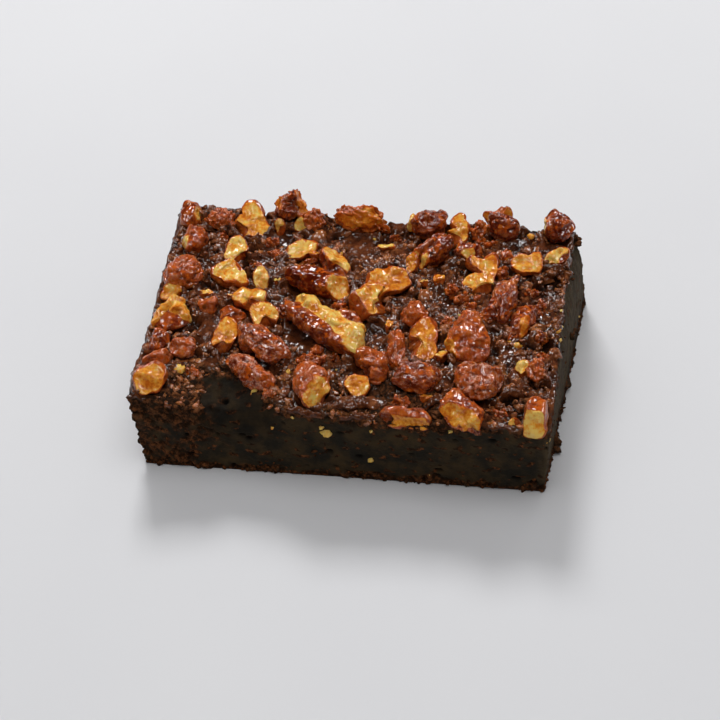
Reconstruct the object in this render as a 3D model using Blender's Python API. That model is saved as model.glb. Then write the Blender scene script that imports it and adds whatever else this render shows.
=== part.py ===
"""A cut slice of chocolate brownie with a topping of chopped, caramelised pecans.

Run it with blender --background --python part.py, or from Blender's text editor. Lengths in the tables are
in millimetres and are scaled to metres where the meshes are made. +Z is up, +X runs along the slice and -Y is
its front. The slice stands on z = 0, under the middle of its own box.
"""

import math
from dataclasses import dataclass

import bmesh
import bpy
from mathutils import Euler, Matrix, Vector, noise

MM = 0.001

# The cut slice, in millimetres. It was cut by eye, so its corners are given one by one, at the foot and at
# the top: front left, front right, back left, back right.
FOOT_CORNERS = ((-49.2, -33.2), (49.6, -31.6), (-51.0, 32.2), (52.4, 33.0))
TOP_CORNERS = ((-51.6, -32.6), (52.0, -33.4), (-52.4, 33.4), (50.8, 34.2))
TOP_HALF_LENGTH = 52.0
TOP_HALF_DEPTH = 34.0
HEIGHT = 24.0
BACK_RISE = 0.7

# The top bulges in two crossed waves: their heights, and the lengths that turn them by a radian.
BROAD_WAVE = 0.55
BROAD_LENGTH_X = 15.0
BROAD_LENGTH_Y = 12.0
FINE_WAVE = 0.35
FINE_LENGTH_X = 7.3
FINE_LENGTH_Y = 9.1

# The top's fall by its edges, over a share of the half length.
EDGE_DROP = 0.6
EDGE_SHARE = 0.1

# The walls' waves, and how far the foot is tucked in, over a share of the height.
WALL_WAVE = 0.6
WALL_WAVELENGTH = 17.0
WALL_SQUASH = 1.6
FOOT_TUCK = 0.4
FOOT_SHARE = 0.04

# The knife has dragged the top down along this stretch of the front edge, more and more towards the edge.
SLUMP_X = -31.0
SLUMP_WIDTH = 11.0
SLUMP_BACK_Y = -17.0
SLUMP_REACH = 16.0
SLUMP_DEPTH = 8.0
SLUMP_POWER = 1.5

# How finely the slice is divided along, across and up.
CELLS_ALONG = 20
CELLS_ACROSS = 12
CELLS_UP = 3

# The nuts: rings and segments of each, the clearance round it, how sharply its lobes and breaks meet, its
# lumps as a share of its reach, the room that a set-in nut's notch adds, and the tilt from which a break shows.
RINGS = 7
SEGMENTS = 9
GAP = 0.3
LOBE_SHARPNESS = 6.0
BREAK_SHARPNESS = 10.0
LUMP_SHARE = 0.09
LUMP_WAVELENGTH = 0.8
NOTCH_GROW = 0.35
UPWARD_TILT = 40

SLICE_NAME = "brownie"
NUT_NAME = "pecan_{:02d}"

# Lobes of each form of chopped nut, as shares of its half length, half width and half height:
# the lobe's middle along and across, its reach along, across and up, and its turn in degrees.
FORMS = {
    "knob": [(0.0, 0.0, 1.0, 1.0, 1.0, 0)],
    "half": [(0.0, -0.38, 1.0, 0.62, 1.0, 0), (0.0, 0.38, 0.94, 0.62, 0.94, 0)],
    "bar": [(-0.35, 0.08, 0.65, 0.90, 1.0, 8), (0.35, -0.08, 0.65, 0.90, 0.92, -8)],
    "heart": [
        (-0.20, 0.0, 0.80, 0.62, 0.92, 0),
        (0.34, 0.36, 0.64, 0.52, 1.0, 32),
        (0.34, -0.36, 0.62, 0.50, 0.95, -32),
    ],
    "fork": [
        (0.42, 0.0, 0.60, 0.42, 1.0, 0),
        (-0.32, 0.42, 0.62, 0.40, 0.90, -48),
        (-0.32, -0.42, 0.62, 0.40, 0.95, 48),
    ],
    "wedge": [(-0.22, 0.0, 0.78, 1.0, 1.0, 0), (0.36, 0.0, 0.64, 0.52, 0.72, 0)],
}


@dataclass(frozen=True)
class Nut:
    """A chopped pecan: where its middle is over the top, its turn, its size and the directions it is broken in.

    Each break is (turn, tilt, depth): the way the broken face looks, in degrees about +Z from +X and above
    the horizon, and how far it stands from the middle, as a share of the nut's half width.
    """

    x: float
    y: float
    turn: float
    length: float
    width: float
    height: float
    rise: float
    form: str
    breaks: tuple = ()
    lean: float = 0.0
    set_in: bool = False


NUTS = [
    # Back row, from the left corner to the right one.
    Nut(-48.6, 28.8, 95, 9.5, 6.0, 6.5, 1.4, "bar", ((10, 30, 0.7),)),
    Nut(-41.2, 28.8, 20, 8.5, 7.0, 5.0, 1.4, "knob"),
    Nut(-32.2, 28.2, 88, 13.5, 12.0, 5.5, 2.0, "fork", ((0, 90, 0.42),)),
    Nut(-22.6, 31.8, 12, 10.5, 7.5, 9.0, 3.6, "heart", (), 8),
    Nut(-16.4, 29.6, -50, 8.0, 5.0, 6.0, 2.2, "wedge"),
    Nut(-3.6, 30.6, 2, 14.5, 7.0, 7.5, 3.2, "bar"),
    Nut(12.2, 30.8, -6, 13.2, 8.0, 8.5, 3.6, "half", ((185, 10, 1.1),)),
    Nut(20.2, 30.4, -72, 9.4, 5.4, 5.5, 2.6, "heart", ((0, 80, 0.5),)),
    Nut(26.4, 31.0, 84, 6.5, 4.6, 5.0, 2.0, "knob"),
    Nut(32.4, 30.8, -8, 8.5, 6.0, 7.0, 3.4, "knob"),
    Nut(30.8, 34.6, 10, 8.5, 3.4, 8.0, 4.0, "wedge", ((60, 50, 0.7),)),
    Nut(46.8, 32.6, 70, 9.5, 9.0, 9.0, 3.0, "wedge", ((215, 5, 0.95),)),
    # Second row.
    Nut(-45.8, 20.4, 78, 9.0, 7.0, 6.0, 2.0, "half"),
    Nut(-34.6, 18.4, 84, 9.0, 6.0, 5.0, 1.7, "knob", ((10, 76, 0.45),)),
    Nut(-17.8, 19.6, 32, 9.0, 5.4, 4.6, 1.5, "bar", ((0, 88, 0.45),)),
    Nut(-8.4, 14.6, -50, 10.5, 6.0, 5.5, 2.0, "half", ((40, 50, 0.55),)),
    Nut(15.4, 22.0, 54, 14.5, 6.5, 6.5, 2.4, "half", ((235, 35, 1.5),)),
    Nut(24.4, 22.4, -18, 8.0, 6.0, 5.0, 1.8, "knob"),
    Nut(29.4, 15.6, 84, 16.5, 10.0, 5.2, 1.9, "fork", ((0, 88, 0.40),)),
    Nut(39.8, 19.4, 22, 8.6, 7.5, 5.4, 1.9, "heart", ((90, 82, 0.45),)),
    Nut(46.8, 23.4, 46, 7.6, 4.2, 4.2, 1.5, "bar", ((90, 70, 0.5),)),
    # Third row.
    Nut(-46.4, 8.2, 62, 11.0, 9.0, 7.0, 2.2, "half"),
    Nut(-34.0, 8.6, -14, 10.5, 8.0, 6.0, 2.1, "wedge", ((100, 72, 0.42),)),
    Nut(-26.4, 9.2, 82, 7.4, 4.8, 5.0, 1.8, "bar", ((20, 70, 0.5),)),
    Nut(-9.8, 6.8, -20, 21.5, 7.5, 7.0, 2.3, "half", ((-10, 44, 1.25),)),
    Nut(6.4, 9.8, -20, 12.5, 9.4, 6.0, 2.2, "heart", ((60, 78, 0.42),)),
    Nut(35.4, 7.8, 80, 16.5, 6.5, 6.5, 2.2, "half"),
    # Middle of the slice.
    Nut(-48.2, 1.8, 10, 5.8, 5.2, 5.0, 1.8, "knob", ((80, 70, 0.5),)),
    Nut(-46.4, -6.4, 96, 12.5, 11.5, 6.0, 2.2, "fork", ((20, 78, 0.45),)),
    Nut(-37.8, -2.0, 12, 6.0, 5.2, 4.6, 1.5, "knob"),
    Nut(-28.0, 1.2, -24, 9.5, 6.4, 4.6, 1.7, "heart", ((90, 84, 0.45),)),
    Nut(-31.0, -4.8, -32, 8.6, 4.6, 3.8, 1.2, "wedge"),
    Nut(-23.0, -4.2, -38, 9.0, 6.4, 4.8, 1.9, "heart", ((80, 80, 0.45),)),
    Nut(-8.4, -4.8, -42, 33.0, 11.0, 8.0, 2.8, "half", ((66, 62, 0.36),)),
    Nut(2.8, 1.8, -52, 12.0, 9.5, 7.0, 2.3, "wedge", ((60, 62, 0.5),)),
    Nut(14.4, -0.8, 62, 8.6, 6.0, 6.0, 2.0, "knob"),
    Nut(17.8, -8.4, 80, 14.0, 7.5, 6.0, 2.2, "bar", ((-20, 70, 0.5),)),
    Nut(29.0, -7.8, 104, 15.0, 11.5, 8.0, 2.8, "half"),
    Nut(41.0, 0.8, 70, 12.5, 4.8, 5.0, 1.7, "bar", ((-10, 60, 0.6),)),
    Nut(46.6, -14.8, -66, 7.4, 5.2, 5.0, 1.5, "knob"),
    # Fourth row.
    Nut(-47.8, -14.4, 84, 7.0, 5.4, 5.0, 1.6, "bar"),
    Nut(-41.6, -16.4, 32, 7.6, 6.0, 4.6, 1.5, "heart"),
    Nut(-31.0, -11.8, 76, 11.0, 6.2, 5.6, 2.0, "bar", ((180, 66, 0.5),)),
    Nut(-20.8, -14.2, -38, 17.0, 7.6, 7.0, 2.3, "half"),
    Nut(-22.6, -22.0, -32, 16.5, 5.6, 5.6, 1.7, "bar"),
    Nut(-8.8, -17.6, -12, 8.0, 4.6, 4.4, 1.2, "knob"),
    Nut(6.0, -18.0, -48, 11.0, 7.0, 6.0, 2.1, "half"),
    Nut(11.6, -12.0, 100, 11.5, 4.8, 5.6, 1.9, "bar"),
    # Front edge, with the nuts that the knife went through.
    Nut(-46.8, -27.4, 56, 10.0, 7.4, 6.0, 1.6, "knob", ((-55, 58, 0.5),)),
    Nut(-46.6, -20.6, 30, 8.0, 4.2, 4.6, 1.6, "wedge"),
    Nut(-6.4, -27.0, -58, 13.0, 10.5, 8.0, 2.2, "wedge", ((-25, 35, 0.75),)),
    Nut(4.0, -24.6, -38, 7.4, 5.2, 4.8, 1.4, "bar", ((-60, 70, 0.5),)),
    Nut(18.2, -20.4, -14, 12.0, 7.6, 6.0, 1.9, "half"),
    Nut(33.2, -21.6, 8, 12.5, 11.0, 8.0, 2.4, "half"),
    Nut(17.0, -31.4, -6, 13.5, 6.0, 6.0, -0.6, "bar", ((-90, 30, 0.55),), 0, True),
    Nut(29.2, -30.4, 112, 12.5, 12.0, 8.0, 0.6, "fork", ((-90, 30, 0.62),), 0, True),
    Nut(48.2, -29.6, 90, 11.0, 6.4, 8.0, 0.6, "bar", ((-90, 35, 1.10),), 0, True),
]


def ramp(value):
    """0 below 0, 1 above 1, and a smooth rise between."""
    t = min(max(value, 0.0), 1.0)
    return t * t * (3.0 - 2.0 * t)


def corner_mix(corners, along, across):
    """A point between four corners, by its place from left to right and from front to back, each -1 to 1."""
    right, back = (along + 1.0) / 2.0, (across + 1.0) / 2.0
    shares = ((1 - right) * (1 - back), right * (1 - back), (1 - right) * back, right * back)
    x = sum(share * corner[0] for share, corner in zip(shares, corners))
    y = sum(share * corner[1] for share, corner in zip(shares, corners))
    return x, y


def edge_fall(along, across):
    """How far the top sinks near the cut edges, in mm, by the place as shares from -1 to 1."""
    inset = 1.0 - min(max(abs(along), abs(across)), 1.0)
    return EDGE_DROP * (1.0 - ramp(inset / EDGE_SHARE))


def slump(x, y):
    """How far the knife dragged the top down at the front, in mm."""
    along = math.exp(-(((x - SLUMP_X) / SLUMP_WIDTH) ** 2))
    return SLUMP_DEPTH * along * max((SLUMP_BACK_Y - y) / SLUMP_REACH, 0.0) ** SLUMP_POWER


def top_height(x, y):
    """Height of the brownie's own top at a point of its plan, in mm."""
    along, across = x / TOP_HALF_LENGTH, y / TOP_HALF_DEPTH
    waves = BROAD_WAVE * math.sin(x / BROAD_LENGTH_X + 1.3) * math.cos(y / BROAD_LENGTH_Y - 0.4)
    waves += FINE_WAVE * math.sin(x / FINE_LENGTH_X + y / FINE_LENGTH_Y)
    return HEIGHT + BACK_RISE * across + waves - edge_fall(along, across) - slump(x, y)


def slice_point(along, across, up):
    """A point of the slice, in mm, from its place in the uncut block: -1 to 1, -1 to 1 and 0 to 1."""
    foot = Vector(corner_mix(FOOT_CORNERS, along, across))
    top = Vector(corner_mix(TOP_CORNERS, along, across))
    x, y = foot.lerp(top, up)
    z = up * top_height(x, y)
    wave = noise.noise(Vector((x, y, z * WALL_SQUASH)) / WALL_WAVELENGTH) * WALL_WAVE
    tuck = FOOT_TUCK * (1.0 - ramp(up / FOOT_SHARE))
    if abs(along) == 1.0:
        x += math.copysign(wave - tuck, along)
    if abs(across) == 1.0:
        y += math.copysign(wave - tuck, across)
    return Vector((x, y, z)) * MM


def sliced(bm, axis, cells, low, high):
    """Cuts every face of the mesh at even steps along one axis."""
    normal = Vector((0.0, 0.0, 0.0))
    normal[axis] = 1.0
    for step in range(1, cells):
        point = normal * (low + (high - low) * step / cells)
        geometry = bm.verts[:] + bm.edges[:] + bm.faces[:]
        bmesh.ops.bisect_plane(bm, geom=geometry, plane_co=point, plane_no=normal)


def make_slice(collection):
    """The brownie itself: a block divided into cells, whose corners then take the slice's own shape."""
    bm = bmesh.new()
    bmesh.ops.create_cube(bm, size=2.0)
    sliced(bm, 0, CELLS_ALONG, -1.0, 1.0)
    sliced(bm, 1, CELLS_ACROSS, -1.0, 1.0)
    sliced(bm, 2, CELLS_UP, -1.0, 1.0)
    for vert in bm.verts:
        along, across, up = (round(value, 5) for value in vert.co)
        vert.co = slice_point(along, across, (up + 1.0) / 2.0)
    bmesh.ops.recalc_face_normals(bm, faces=bm.faces)
    return finished(bm, SLICE_NAME, collection)


def finished(bm, name, collection):
    """Turns a bmesh into a named object of the collection."""
    mesh = bpy.data.meshes.new(name)
    bm.to_mesh(mesh)
    bm.free()
    made = bpy.data.objects.new(name, mesh)
    collection.objects.link(made)
    return made


def looking(turn, tilt):
    """The direction that a face turned about +Z and tilted above the horizon looks in."""
    turn, tilt = math.radians(turn), math.radians(tilt)
    return Vector((math.cos(turn) * math.cos(tilt), math.sin(turn) * math.cos(tilt), math.sin(tilt)))


def lobe_reach(direction, lobe, nut):
    """Distance from the nut's middle to one lobe's surface. The lobe is an ellipsoid that holds the middle."""
    along, across, long, wide, high, turn = lobe
    size = Vector((long * nut.length, wide * nut.width, high * nut.height)) / 2
    spin = Matrix.Rotation(math.radians(-turn), 3, "Z")
    centre = spin @ Vector((along * nut.length, across * nut.width, 0.0)) / 2
    ray = spin @ direction
    ray = Vector(a / b for a, b in zip(ray, size))
    centre = Vector(a / b for a, b in zip(centre, size))
    squared, toward = ray.dot(ray), ray.dot(centre)
    room = max(toward * toward - squared * (centre.dot(centre) - 1.0), 0.0)
    return max((toward + math.sqrt(room)) / squared, 0.0)


def nut_reach(direction, nut, seed):
    """Distance from the nut's middle to its surface: the lobes joined, then cut back by each broken face."""
    lobes = sum(lobe_reach(direction, lobe, nut) ** LOBE_SHARPNESS for lobe in FORMS[nut.form])
    reach = lobes ** (1.0 / LOBE_SHARPNESS)
    reach *= 1.0 + LUMP_SHARE * noise.noise((direction + Vector((seed, 0.0, 0.0))) / LUMP_WAVELENGTH)
    closeness = (1.0 / reach) ** BREAK_SHARPNESS
    level = Euler((math.radians(nut.lean), 0.0, math.radians(nut.turn))).to_matrix().inverted()
    for turn, tilt, depth in nut.breaks:
        facing = max((level @ looking(turn, tilt)).dot(direction), 0.0)
        closeness += (facing / (depth * nut.width / 2)) ** BREAK_SHARPNESS
    return closeness ** (-1.0 / BREAK_SHARPNESS)


def nut_place(nut):
    """The nut's matrix in the slice's frame, in mm."""
    middle = Vector((nut.x, nut.y, top_height(nut.x, nut.y) + nut.rise))
    turned = Euler((math.radians(nut.lean), 0.0, math.radians(nut.turn)))
    return Matrix.LocRotScale(middle, turned, None)


def nut_mesh(nut, seed, grow=0.0):
    """The nut as a bmesh in its own frame, in mm: a sphere with its poles on the long axis, reshaped."""
    bm = bmesh.new()
    onto_x = Matrix.Rotation(math.radians(90.0), 4, "Y")
    bmesh.ops.create_uvsphere(bm, u_segments=SEGMENTS, v_segments=RINGS, radius=1.0, matrix=onto_x)
    bmesh.ops.triangulate(bm, faces=bm.faces, quad_method="FIXED")
    for vert in bm.verts:
        direction = (vert.co * Vector((nut.length, nut.width, nut.height))).normalized()
        vert.co = direction * (nut_reach(direction, nut, seed) + grow)
    return bm


def cut_off(bm, point, normal):
    """Removes what lies beyond a plane and closes the cut."""
    geometry = bm.verts[:] + bm.edges[:] + bm.faces[:]
    cut = bmesh.ops.bisect_plane(bm, geom=geometry, plane_co=point, plane_no=normal, clear_outer=True)
    rim = [item for item in cut["geom_cut"] if isinstance(item, bmesh.types.BMEdge)]
    if rim:
        bmesh.ops.edgeloop_fill(bm, edges=rim)


def support(bm, place, direction):
    """How far the nut reaches from its middle in a direction, in mm."""
    local = place.to_3x3().inverted() @ direction
    return max(vert.co.dot(local) for vert in bm.verts)


def part_neighbours(meshes, places):
    """Cuts two nuts that press into each other back to one plane between them, with the gap that solids keep."""
    for first in range(len(meshes)):
        for second in range(first + 1, len(meshes)):
            between = places[second].translation - places[first].translation
            span = between.length
            between.normalize()
            near = support(meshes[first], places[first], between)
            far = support(meshes[second], places[second], -between)
            if near + far + GAP <= span:
                continue
            meeting = places[first].translation + between * (span * near / (near + far))
            for index, side in ((first, 1.0), (second, -1.0)):
                inverse = places[index].inverted()
                point = inverse @ (meeting - between * side * GAP / 2)
                normal = inverse.to_3x3() @ (between * side)
                cut_off(meshes[index], point, normal)


def seat(bm, place):
    """Cuts the nut's underside flat, just clear of the highest point of the top beneath it."""
    under = [place @ vert.co for vert in bm.verts]
    level = max(top_height(point.x, point.y) for point in under) + GAP
    inverse = place.inverted()
    point = inverse @ Vector((place.translation.x, place.translation.y, level))
    cut_off(bm, point, inverse.to_3x3() @ Vector((0.0, 0.0, -1.0)))


def placed(bm, place, name, collection):
    """The nut as an object at its own place, with its mesh brought from mm to metres."""
    bmesh.ops.scale(bm, vec=(MM, MM, MM), verts=bm.verts)
    bmesh.ops.recalc_face_normals(bm, faces=bm.faces)
    made = finished(bm, name, collection)
    made.location = place.translation * MM
    made.rotation_euler = place.to_euler()
    return made


def notch(slice_object, bm, place, index, cutters):
    """Makes room in the slice for a nut that is set into its edge."""
    cutter = placed(bm, place, f"notch_{index:02d}", cutters)
    cutter.hide_render = True
    cutter.display_type = "WIRE"
    cut = slice_object.modifiers.new(cutter.name, "BOOLEAN")
    cut.operation = "DIFFERENCE"
    cut.object = cutter


def make_nuts(slice_object, collection, cutters):
    """Every chopped pecan, parted from its neighbours and seated on the slice or set into its edge."""
    meshes = [nut_mesh(nut, seed) for seed, nut in enumerate(NUTS)]
    places = [nut_place(nut) for nut in NUTS]
    part_neighbours(meshes, places)
    made = []
    for index, (nut, bm, place) in enumerate(zip(NUTS, meshes, places), start=1):
        if nut.set_in:
            grown = nut_mesh(nut, index - 1, NOTCH_GROW)
            notch(slice_object, grown, place, index, cutters)
        else:
            seat(bm, place)
        made.append(placed(bm, place, NUT_NAME.format(index), collection))
    return made


def material(name, colour, roughness):
    """A plain Principled material. Colours are linear."""
    made = bpy.data.materials.new(name)
    made.use_nodes = True
    shader = made.node_tree.nodes["Principled BSDF"]
    shader.inputs["Base Color"].default_value = (*colour, 1.0)
    shader.inputs["Roughness"].default_value = roughness
    shader.inputs["Metallic"].default_value = 0.0
    made.diffuse_color = (*colour, 1.0)
    return made


def way_to_origin(objects):
    """The shift that brings the middle of the objects' box over the origin and its underside to z = 0."""
    bpy.context.view_layer.update()
    graph = bpy.context.evaluated_depsgraph_get()
    corners = []
    for made in objects:
        shown = made.evaluated_get(graph)
        mesh = shown.to_mesh()
        corners += [shown.matrix_world @ vert.co for vert in mesh.vertices]
        shown.to_mesh_clear()
    low = Vector(min(point[axis] for point in corners) for axis in range(3))
    high = Vector(max(point[axis] for point in corners) for axis in range(3))
    middle = (low + high) / 2
    return Vector((-middle.x, -middle.y, -low.z))


def main():
    """Builds the slice and its nuts in one collection and the cutters in another."""
    for old in list(bpy.data.objects):
        bpy.data.objects.remove(old, do_unlink=True)
    collection = bpy.data.collections.new("pecan_brownie")
    cutters = bpy.data.collections.new("cutters")
    for group in (collection, cutters):
        bpy.context.scene.collection.children.link(group)
    slice_object = make_slice(collection)
    nuts = make_nuts(slice_object, collection, cutters)
    slice_object.data.materials.append(material("chocolate_cake", (0.022, 0.011, 0.007), 0.75))
    skin = material("pecan_skin", (0.17, 0.045, 0.015), 0.35)
    flesh = material("pecan_flesh", (0.62, 0.33, 0.10), 0.45)
    for nut, made in zip(NUTS, nuts):
        upward = any(tilt > UPWARD_TILT for _, tilt, _ in nut.breaks)
        made.data.materials.append(flesh if upward else skin)
    shift = way_to_origin([slice_object, *nuts])
    for made in [*collection.objects, *cutters.objects]:
        made.location += shift


main()
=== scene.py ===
"""Looks for a cut slice of chocolate brownie topped with chopped, glazed pecans.

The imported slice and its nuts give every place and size. Each sub-assembly below is a class that works
out its meshes with numpy, in millimetres, and hands them over in metres. The finishes are node materials
that read Object coordinates and the attributes that the meshes carry.
"""

import logging
import math
from dataclasses import dataclass
from enum import Enum

import bpy
import numpy as np
from mathutils import Matrix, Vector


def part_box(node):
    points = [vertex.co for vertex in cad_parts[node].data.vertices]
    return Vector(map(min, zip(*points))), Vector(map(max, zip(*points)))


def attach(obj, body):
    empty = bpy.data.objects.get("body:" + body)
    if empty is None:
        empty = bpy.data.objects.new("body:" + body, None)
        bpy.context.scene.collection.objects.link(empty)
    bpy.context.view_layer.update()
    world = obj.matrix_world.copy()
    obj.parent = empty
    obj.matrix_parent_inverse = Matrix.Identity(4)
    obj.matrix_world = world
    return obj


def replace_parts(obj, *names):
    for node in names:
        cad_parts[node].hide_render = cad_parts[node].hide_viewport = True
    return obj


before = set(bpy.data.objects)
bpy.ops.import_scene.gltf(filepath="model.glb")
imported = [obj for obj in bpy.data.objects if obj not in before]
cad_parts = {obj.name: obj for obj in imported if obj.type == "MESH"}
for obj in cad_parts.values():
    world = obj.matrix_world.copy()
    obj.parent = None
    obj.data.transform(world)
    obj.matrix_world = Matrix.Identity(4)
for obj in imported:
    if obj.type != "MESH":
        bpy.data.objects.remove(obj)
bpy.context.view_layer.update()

MM = 0.001
BODY = "root"
SLICE_NODE = "brownie"
BIT_SEEDS = 100
LOG = logging.getLogger("brownie")


# ---------------------------------------------------------------------------------------------------------
# Numbers out of nowhere: noise and scatter
# ---------------------------------------------------------------------------------------------------------

NOISE_GAIN = 1.7
FAR = 9.0
CORNERS = np.array([(i, j, k) for i in (0, 1) for j in (0, 1) for k in (0, 1)])
NEIGHBOURS = np.array([(i, j, k) for i in (-1, 0, 1) for j in (-1, 0, 1) for k in (-1, 0, 1)])


def hashed(cells: np.ndarray, seed: int) -> np.ndarray:
    """Pseudo-random numbers for integer cells: large odd multiples mixed by shifts.

    Args:
        cells: integer cells, three numbers each in the last axis.
        seed: which stream of numbers.

    Returns:
        One number from 0 to 1 for each cell.
    """
    mixed = (cells[..., 0] * 73856093) ^ (cells[..., 1] * 19349663) ^ (cells[..., 2] * 83492791)
    mixed = (mixed ^ (seed * 2654435761)) & 0xFFFFFFFF
    mixed = (((mixed >> 13) ^ mixed) * 1274126177) & 0xFFFFFFFF
    mixed = (((mixed >> 16) ^ mixed) * 668265263) & 0xFFFFFFFF
    return ((mixed >> 8) & 0xFFFF) / 0xFFFF


def noise(points: np.ndarray, size: float, seed: int = 0) -> np.ndarray:
    """Gradient noise: each lattice corner's random slope times the way from it, blended by a quintic step.

    Args:
        points: N by 3, in mm.
        size: the lattice's pitch, in mm.
        seed: which noise.

    Returns:
        N values of about -1 to 1.
    """
    scaled = points / size
    base = np.floor(scaled).astype(np.int64)
    inside = scaled - base
    step = inside**3 * (inside * (inside * 6 - 15) + 10)
    total = np.zeros(len(points))
    for corner in CORNERS:
        weight = np.prod(np.where(corner, step, 1 - step), axis=-1)
        away = inside - corner
        for axis in range(3):
            slope = hashed(base + corner, seed * 3 + axis) * 2 - 1
            total += weight * slope * away[:, axis]
    return total * NOISE_GAIN


def fractal(points: np.ndarray, size: float, octaves: int, seed: int = 0) -> np.ndarray:
    """Noise added to itself at half the size and half the height, as many times as asked."""
    total = np.zeros(len(points))
    for octave in range(octaves):
        total += noise(points, size / 2**octave, seed + octave) / 2**octave
    return total


def swirl(points: np.ndarray, size: float, seed: int) -> np.ndarray:
    """Three noises side by side: a vector for each point."""
    return np.stack([noise(points, size, seed + axis * 7) for axis in range(3)], axis=-1)


def cells(points: np.ndarray, size: float, seed: int = 0) -> tuple[np.ndarray, np.ndarray]:
    """Distance to the nearest of one random spot in each lattice cell, and that spot's own random number.

    Args:
        points: N by 3, in mm.
        size: the lattice's pitch, in mm.
        seed: which scatter of spots.

    Returns:
        The distances as shares of the pitch, and a number from 0 to 1 of the nearest spot.
    """
    scaled = points / size
    base = np.floor(scaled).astype(np.int64)
    nearest = np.full(len(points), FAR)
    own = np.zeros(len(points))
    for neighbour in NEIGHBOURS:
        cell = base + neighbour
        spot = np.stack([hashed(cell, seed * 5 + axis) for axis in range(3)], axis=-1)
        distance = np.linalg.norm(cell + spot - scaled, axis=-1)
        closer = distance < nearest
        nearest = np.where(closer, distance, nearest)
        own = np.where(closer, hashed(cell, seed * 5 + 3), own)
    return nearest, own


def packed_grains(points: np.ndarray, size: float, seed: int) -> np.ndarray:
    """Grains packed side by side: a dome over each random spot, 1 at its middle and 0 where domes meet."""
    nearest, own = cells(points, size, seed)
    reach = 0.5 + 0.25 * own
    return np.clip(1 - (nearest / reach) ** 2, 0, 1)


def flattened(plan: np.ndarray, level: float = 0.0) -> np.ndarray:
    """Places in plan as points at one level, for the noises."""
    return np.column_stack([plan, np.full(len(plan), level)])


def ramp(values: np.ndarray, low: float, high: float) -> np.ndarray:
    """0 below low, 1 above high (or the other way round if high is less), and a smooth rise between."""
    share = np.clip((values - low) / (high - low), 0, 1)
    return share * share * (3 - 2 * share)


# ---------------------------------------------------------------------------------------------------------
# Meshes
# ---------------------------------------------------------------------------------------------------------


def grid_quads(index: np.ndarray) -> np.ndarray:
    """The quads of a grid of point numbers, turning from its first axis to its second."""
    corners = [index[:-1, :-1], index[1:, :-1], index[1:, 1:], index[:-1, 1:]]
    return np.stack(corners, axis=-1).reshape(-1, 4)


def box_skin(counts: tuple[int, int, int]) -> tuple[np.ndarray, np.ndarray]:
    """The skin of a lattice box: six grids of two parameters each, whose shared edges are merged.

    Args:
        counts: how many cells the box has along x, y and z.

    Returns:
        The lattice points as integers, and quads that look outwards.
    """
    points, quads, start = [], [], 0
    for axis in range(3):
        first, second = (axis + 1) % 3, (axis + 2) % 3
        u, v = np.meshgrid(np.arange(counts[first] + 1), np.arange(counts[second] + 1), indexing="ij")
        for side in (0, counts[axis]):
            grid = np.zeros(u.shape + (3,), np.int64)
            grid[..., first], grid[..., second], grid[..., axis] = u, v, side
            quad = grid_quads(np.arange(u.size).reshape(u.shape) + start)
            points.append(grid.reshape(-1, 3))
            quads.append(quad if side else quad[:, ::-1])
            start += u.size
    points = np.concatenate(points)
    merged, back = np.unique(points, axis=0, return_inverse=True)
    return merged, back.reshape(-1)[np.concatenate(quads)]


def ball_skin(cells_across: int) -> tuple[np.ndarray, np.ndarray]:
    """A cube's skin with its points spread evenly over the directions of a ball, with no poles."""
    lattice, quads = box_skin((cells_across,) * 3)
    spread = np.tan((lattice / cells_across * 2 - 1) * math.pi / 4)
    return spread / np.linalg.norm(spread, axis=-1, keepdims=True), quads


def normals(points: np.ndarray, quads: np.ndarray) -> np.ndarray:
    """Normals of the points: the crosses of each quad's diagonals, added up at its corners."""
    crossed = np.cross(points[quads[:, 2]] - points[quads[:, 0]], points[quads[:, 3]] - points[quads[:, 1]])
    total = np.zeros_like(points)
    for axis in range(3):
        for corner in range(4):
            total[:, axis] += np.bincount(quads[:, corner], crossed[:, axis], len(points))
    return total / np.maximum(np.linalg.norm(total, axis=-1, keepdims=True), 1e-12)


def shown(name: str, data: bpy.types.ID) -> bpy.types.Object:
    """Makes an object of a mesh, light or camera and puts it into the scene."""
    made = bpy.data.objects.new(name, data)
    bpy.context.scene.collection.objects.link(made)
    return made


def piece(
    name: str, points: np.ndarray, quads: np.ndarray, material: bpy.types.Material,
    **marks: np.ndarray | float,
) -> bpy.types.Object:
    """Makes a smooth mesh piece that rides on the slice.

    Args:
        name: the piece's name.
        points: N by 3, in mm.
        quads: M by 4 indices.
        material: its finish.
        marks: attributes, one number for each point or one for them all.

    Returns:
        The new object, at the origin.
    """
    mesh = bpy.data.meshes.new(name)
    mesh.from_pydata((points * MM).astype(np.float32), [], quads)
    for mark, values in marks.items():
        layer = mesh.attributes.new(mark, "FLOAT", "POINT")
        layer.data.foreach_set("value", np.array(np.broadcast_to(values, len(points)), np.float32))
    mesh.materials.append(material)
    mesh.shade_smooth()
    mesh.update()
    made = shown(name, mesh)
    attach(made, BODY)
    LOG.info("%s: %d points, %d quads", name, len(points), len(quads))
    return made


# ---------------------------------------------------------------------------------------------------------
# Finishes
# ---------------------------------------------------------------------------------------------------------

Colour = tuple[float, float, float]


def linear(red: int, green: int, blue: int) -> Colour:
    """A screen colour, 0 to 255, as the linear light that shaders take."""
    shares = [channel / 255 for channel in (red, green, blue)]
    return tuple(s / 12.92 if s <= 0.04045 else ((s + 0.055) / 1.055) ** 2.4 for s in shares)


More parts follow.
